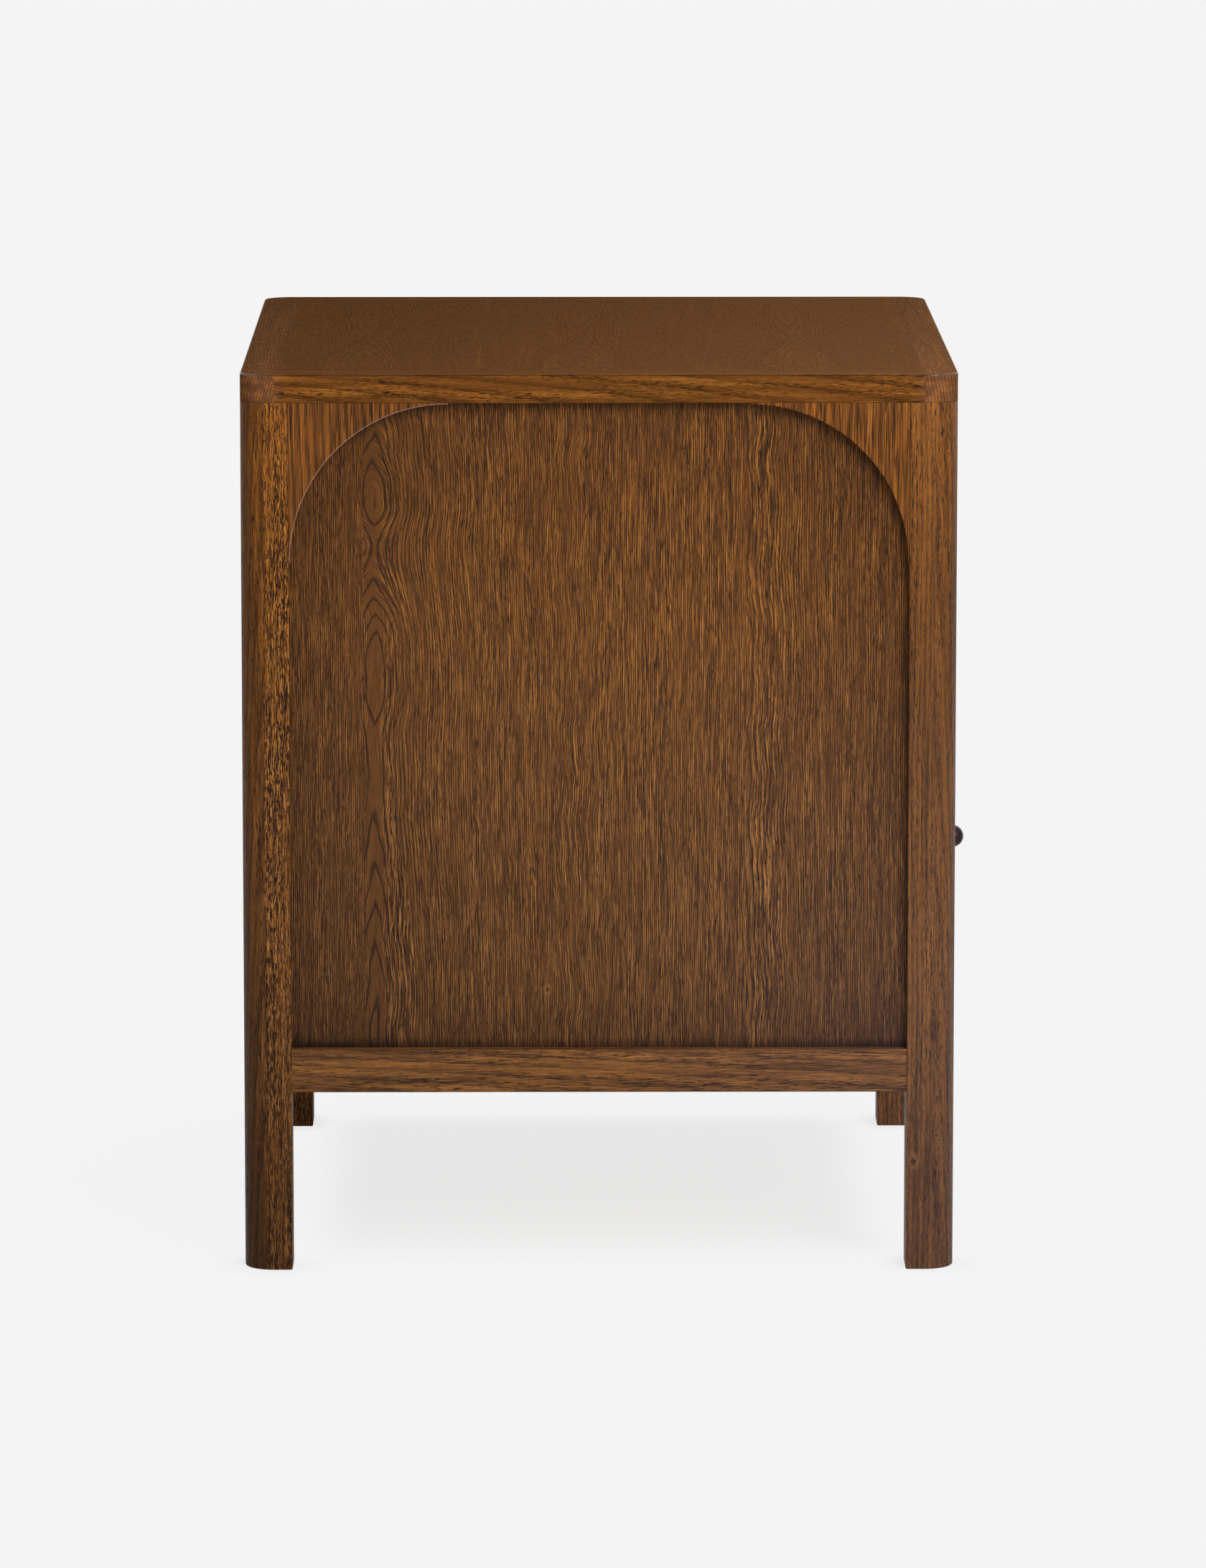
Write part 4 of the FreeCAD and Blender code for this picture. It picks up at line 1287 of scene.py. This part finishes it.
def make_floor(stage):
    """Wide floor in the backdrop's colour that keeps a share of its shading, most of all under the piece."""
    bpy.ops.mesh.primitive_plane_add(size=FLOOR_SIZE, location=(0, 0, 0))
    floor = bpy.context.object
    floor.name = "floor"
    finish = Finish(bpy.data.materials.new("floor"))
    x, y = finish.place("X Y")
    depth = (y - CASE_MIDDLE).size()
    under = depth.rise(*UNDER_DEPTH) * x.rise(*UNDER_LEFT) * x.rise(*UNDER_RIGHT)
    foot = distance(x.size() - FOOT_PLACE[0], depth - FOOT_PLACE[1]).rise(*FOOT_REACH)
    about = distance(x, y).grow(*ROUND_REACH)
    share = under.most(foot).most(about) * stage.shadow
    lit = FLOOR_LIGHT * stage.paint * stage.shadow
    base = [(part - lit) / (1 - stage.shadow) for part in stage.backdrop[:3]]
    inner = finish.node("ShaderNodeEmission", None, {"Color": base + [1.0]})
    outer = finish.node("ShaderNodeEmission", None, {"Color": stage.backdrop})
    scattered = finish.node("ShaderNodeBsdfDiffuse", None, {"Color": [stage.bounce] * 3 + [1.0]})
    shaded = finish.node("ShaderNodeBsdfDiffuse", None, {"Color": [stage.paint] * 3 + [1.0]})
    glow = finish.node("ShaderNodeMixShader", None, {0: share / stage.shadow, 1: outer, 2: inner})
    seen = finish.node("ShaderNodeMixShader", None, {0: share, 1: glow, 2: shaded})
    mixed = finish.node("ShaderNodeMixShader", None, {0: seen_directly(finish), 1: scattered, 2: seen})
    finish.feed(finish.nodes["Material Output"].inputs["Surface"], mixed)
    floor.data.materials.append(finish.owner)


# What the key light points at, in metres
KEY_AIM = (-0.25, 0.0, 0.35)


def make_key(scene, stage):
    """Large soft key light from the upper right of the camera."""
    lamp = bpy.data.lights.new("key", "AREA")
    lamp.energy = stage.key
    lamp.size = stage.key_size
    key = bpy.data.objects.new("key", lamp)
    key.location = stage.key_place
    aim = Vector(stage.key_place) - Vector(KEY_AIM)
    key.rotation_euler = aim.to_track_quat("Z", "Y").to_euler()
    scene.collection.objects.link(key)


# Camera: its lens and place in millimetres, and its turn to the side and downwards in degrees
SENSOR_WIDTH = 36.0
LENS = 193.4
CAMERA_PLACE = (-5572.1, 40.6, 1146.1)
CAMERA_YAW = -0.372
CAMERA_PITCH = 8.861


def make_camera(scene):
    """Camera square on the left side of the case, a little above it."""
    lens = bpy.data.cameras.new("camera")
    lens.sensor_width = SENSOR_WIDTH
    lens.lens = LENS
    camera = bpy.data.objects.new("camera", lens)
    camera.location = Vector(CAMERA_PLACE) * MM
    yaw = math.radians(CAMERA_YAW)
    pitch = math.radians(CAMERA_PITCH)
    level = math.cos(pitch)
    forward = Vector((level * math.cos(yaw), level * math.sin(yaw), -math.sin(pitch)))
    camera.rotation_euler = forward.to_track_quat("-Z", "Y").to_euler()
    scene.collection.objects.link(camera)
    scene.camera = camera


class NIGHTSTAND_PT_pieces(bpy.types.Panel):
    """Buttons for each group of pieces, in the sidebar of the 3D view"""

    bl_idname = "NIGHTSTAND_PT_pieces"
    bl_label = "Nightstand"
    bl_space_type = "VIEW_3D"
    bl_region_type = "UI"
    bl_category = "Nightstand"

    def draw(self, context):
        for operator in operators:
            self.layout.operator(operator.bl_idname)


operators = (
    NIGHTSTAND_OT_top,
    NIGHTSTAND_OT_legs,
    NIGHTSTAND_OT_spandrels,
    NIGHTSTAND_OT_panels,
    NIGHTSTAND_OT_rails,
    NIGHTSTAND_OT_shelf,
    NIGHTSTAND_OT_drawer,
    NIGHTSTAND_OT_dowels,
    NIGHTSTAND_OT_slides,
    NIGHTSTAND_OT_screws,
    NIGHTSTAND_OT_knob,
    NIGHTSTAND_OT_stage,
)
settings = (OakSettings, BoxSettings, MetalSettings, KnobSettings, StageSettings, NightstandSettings)


def register():
    """Register the classes and their settings on the scene."""
    for each in (*settings, *operators, NIGHTSTAND_PT_pieces):
        bpy.utils.register_class(each)
    bpy.types.Scene.nightstand = bpy.props.PointerProperty(type=NightstandSettings)


def unregister():
    """Take the settings and the classes away again."""
    del bpy.types.Scene.nightstand
    for each in reversed((*settings, *operators, NIGHTSTAND_PT_pieces)):
        bpy.utils.unregister_class(each)


def main():
    """Finish the nightstand group by group, then set up the floor, the light and the camera."""
    register()
    bpy.context.scene.view_settings.view_transform = "Standard"
    bpy.ops.nightstand.top()
    bpy.ops.nightstand.legs()
    bpy.ops.nightstand.spandrels()
    bpy.ops.nightstand.panels()
    bpy.ops.nightstand.rails()
    bpy.ops.nightstand.shelf()
    bpy.ops.nightstand.drawer()
    bpy.ops.nightstand.dowels()
    bpy.ops.nightstand.slides()
    bpy.ops.nightstand.screws()
    bpy.ops.nightstand.knob()
    bpy.ops.nightstand.stage()


if __name__ == "__main__":
    main()
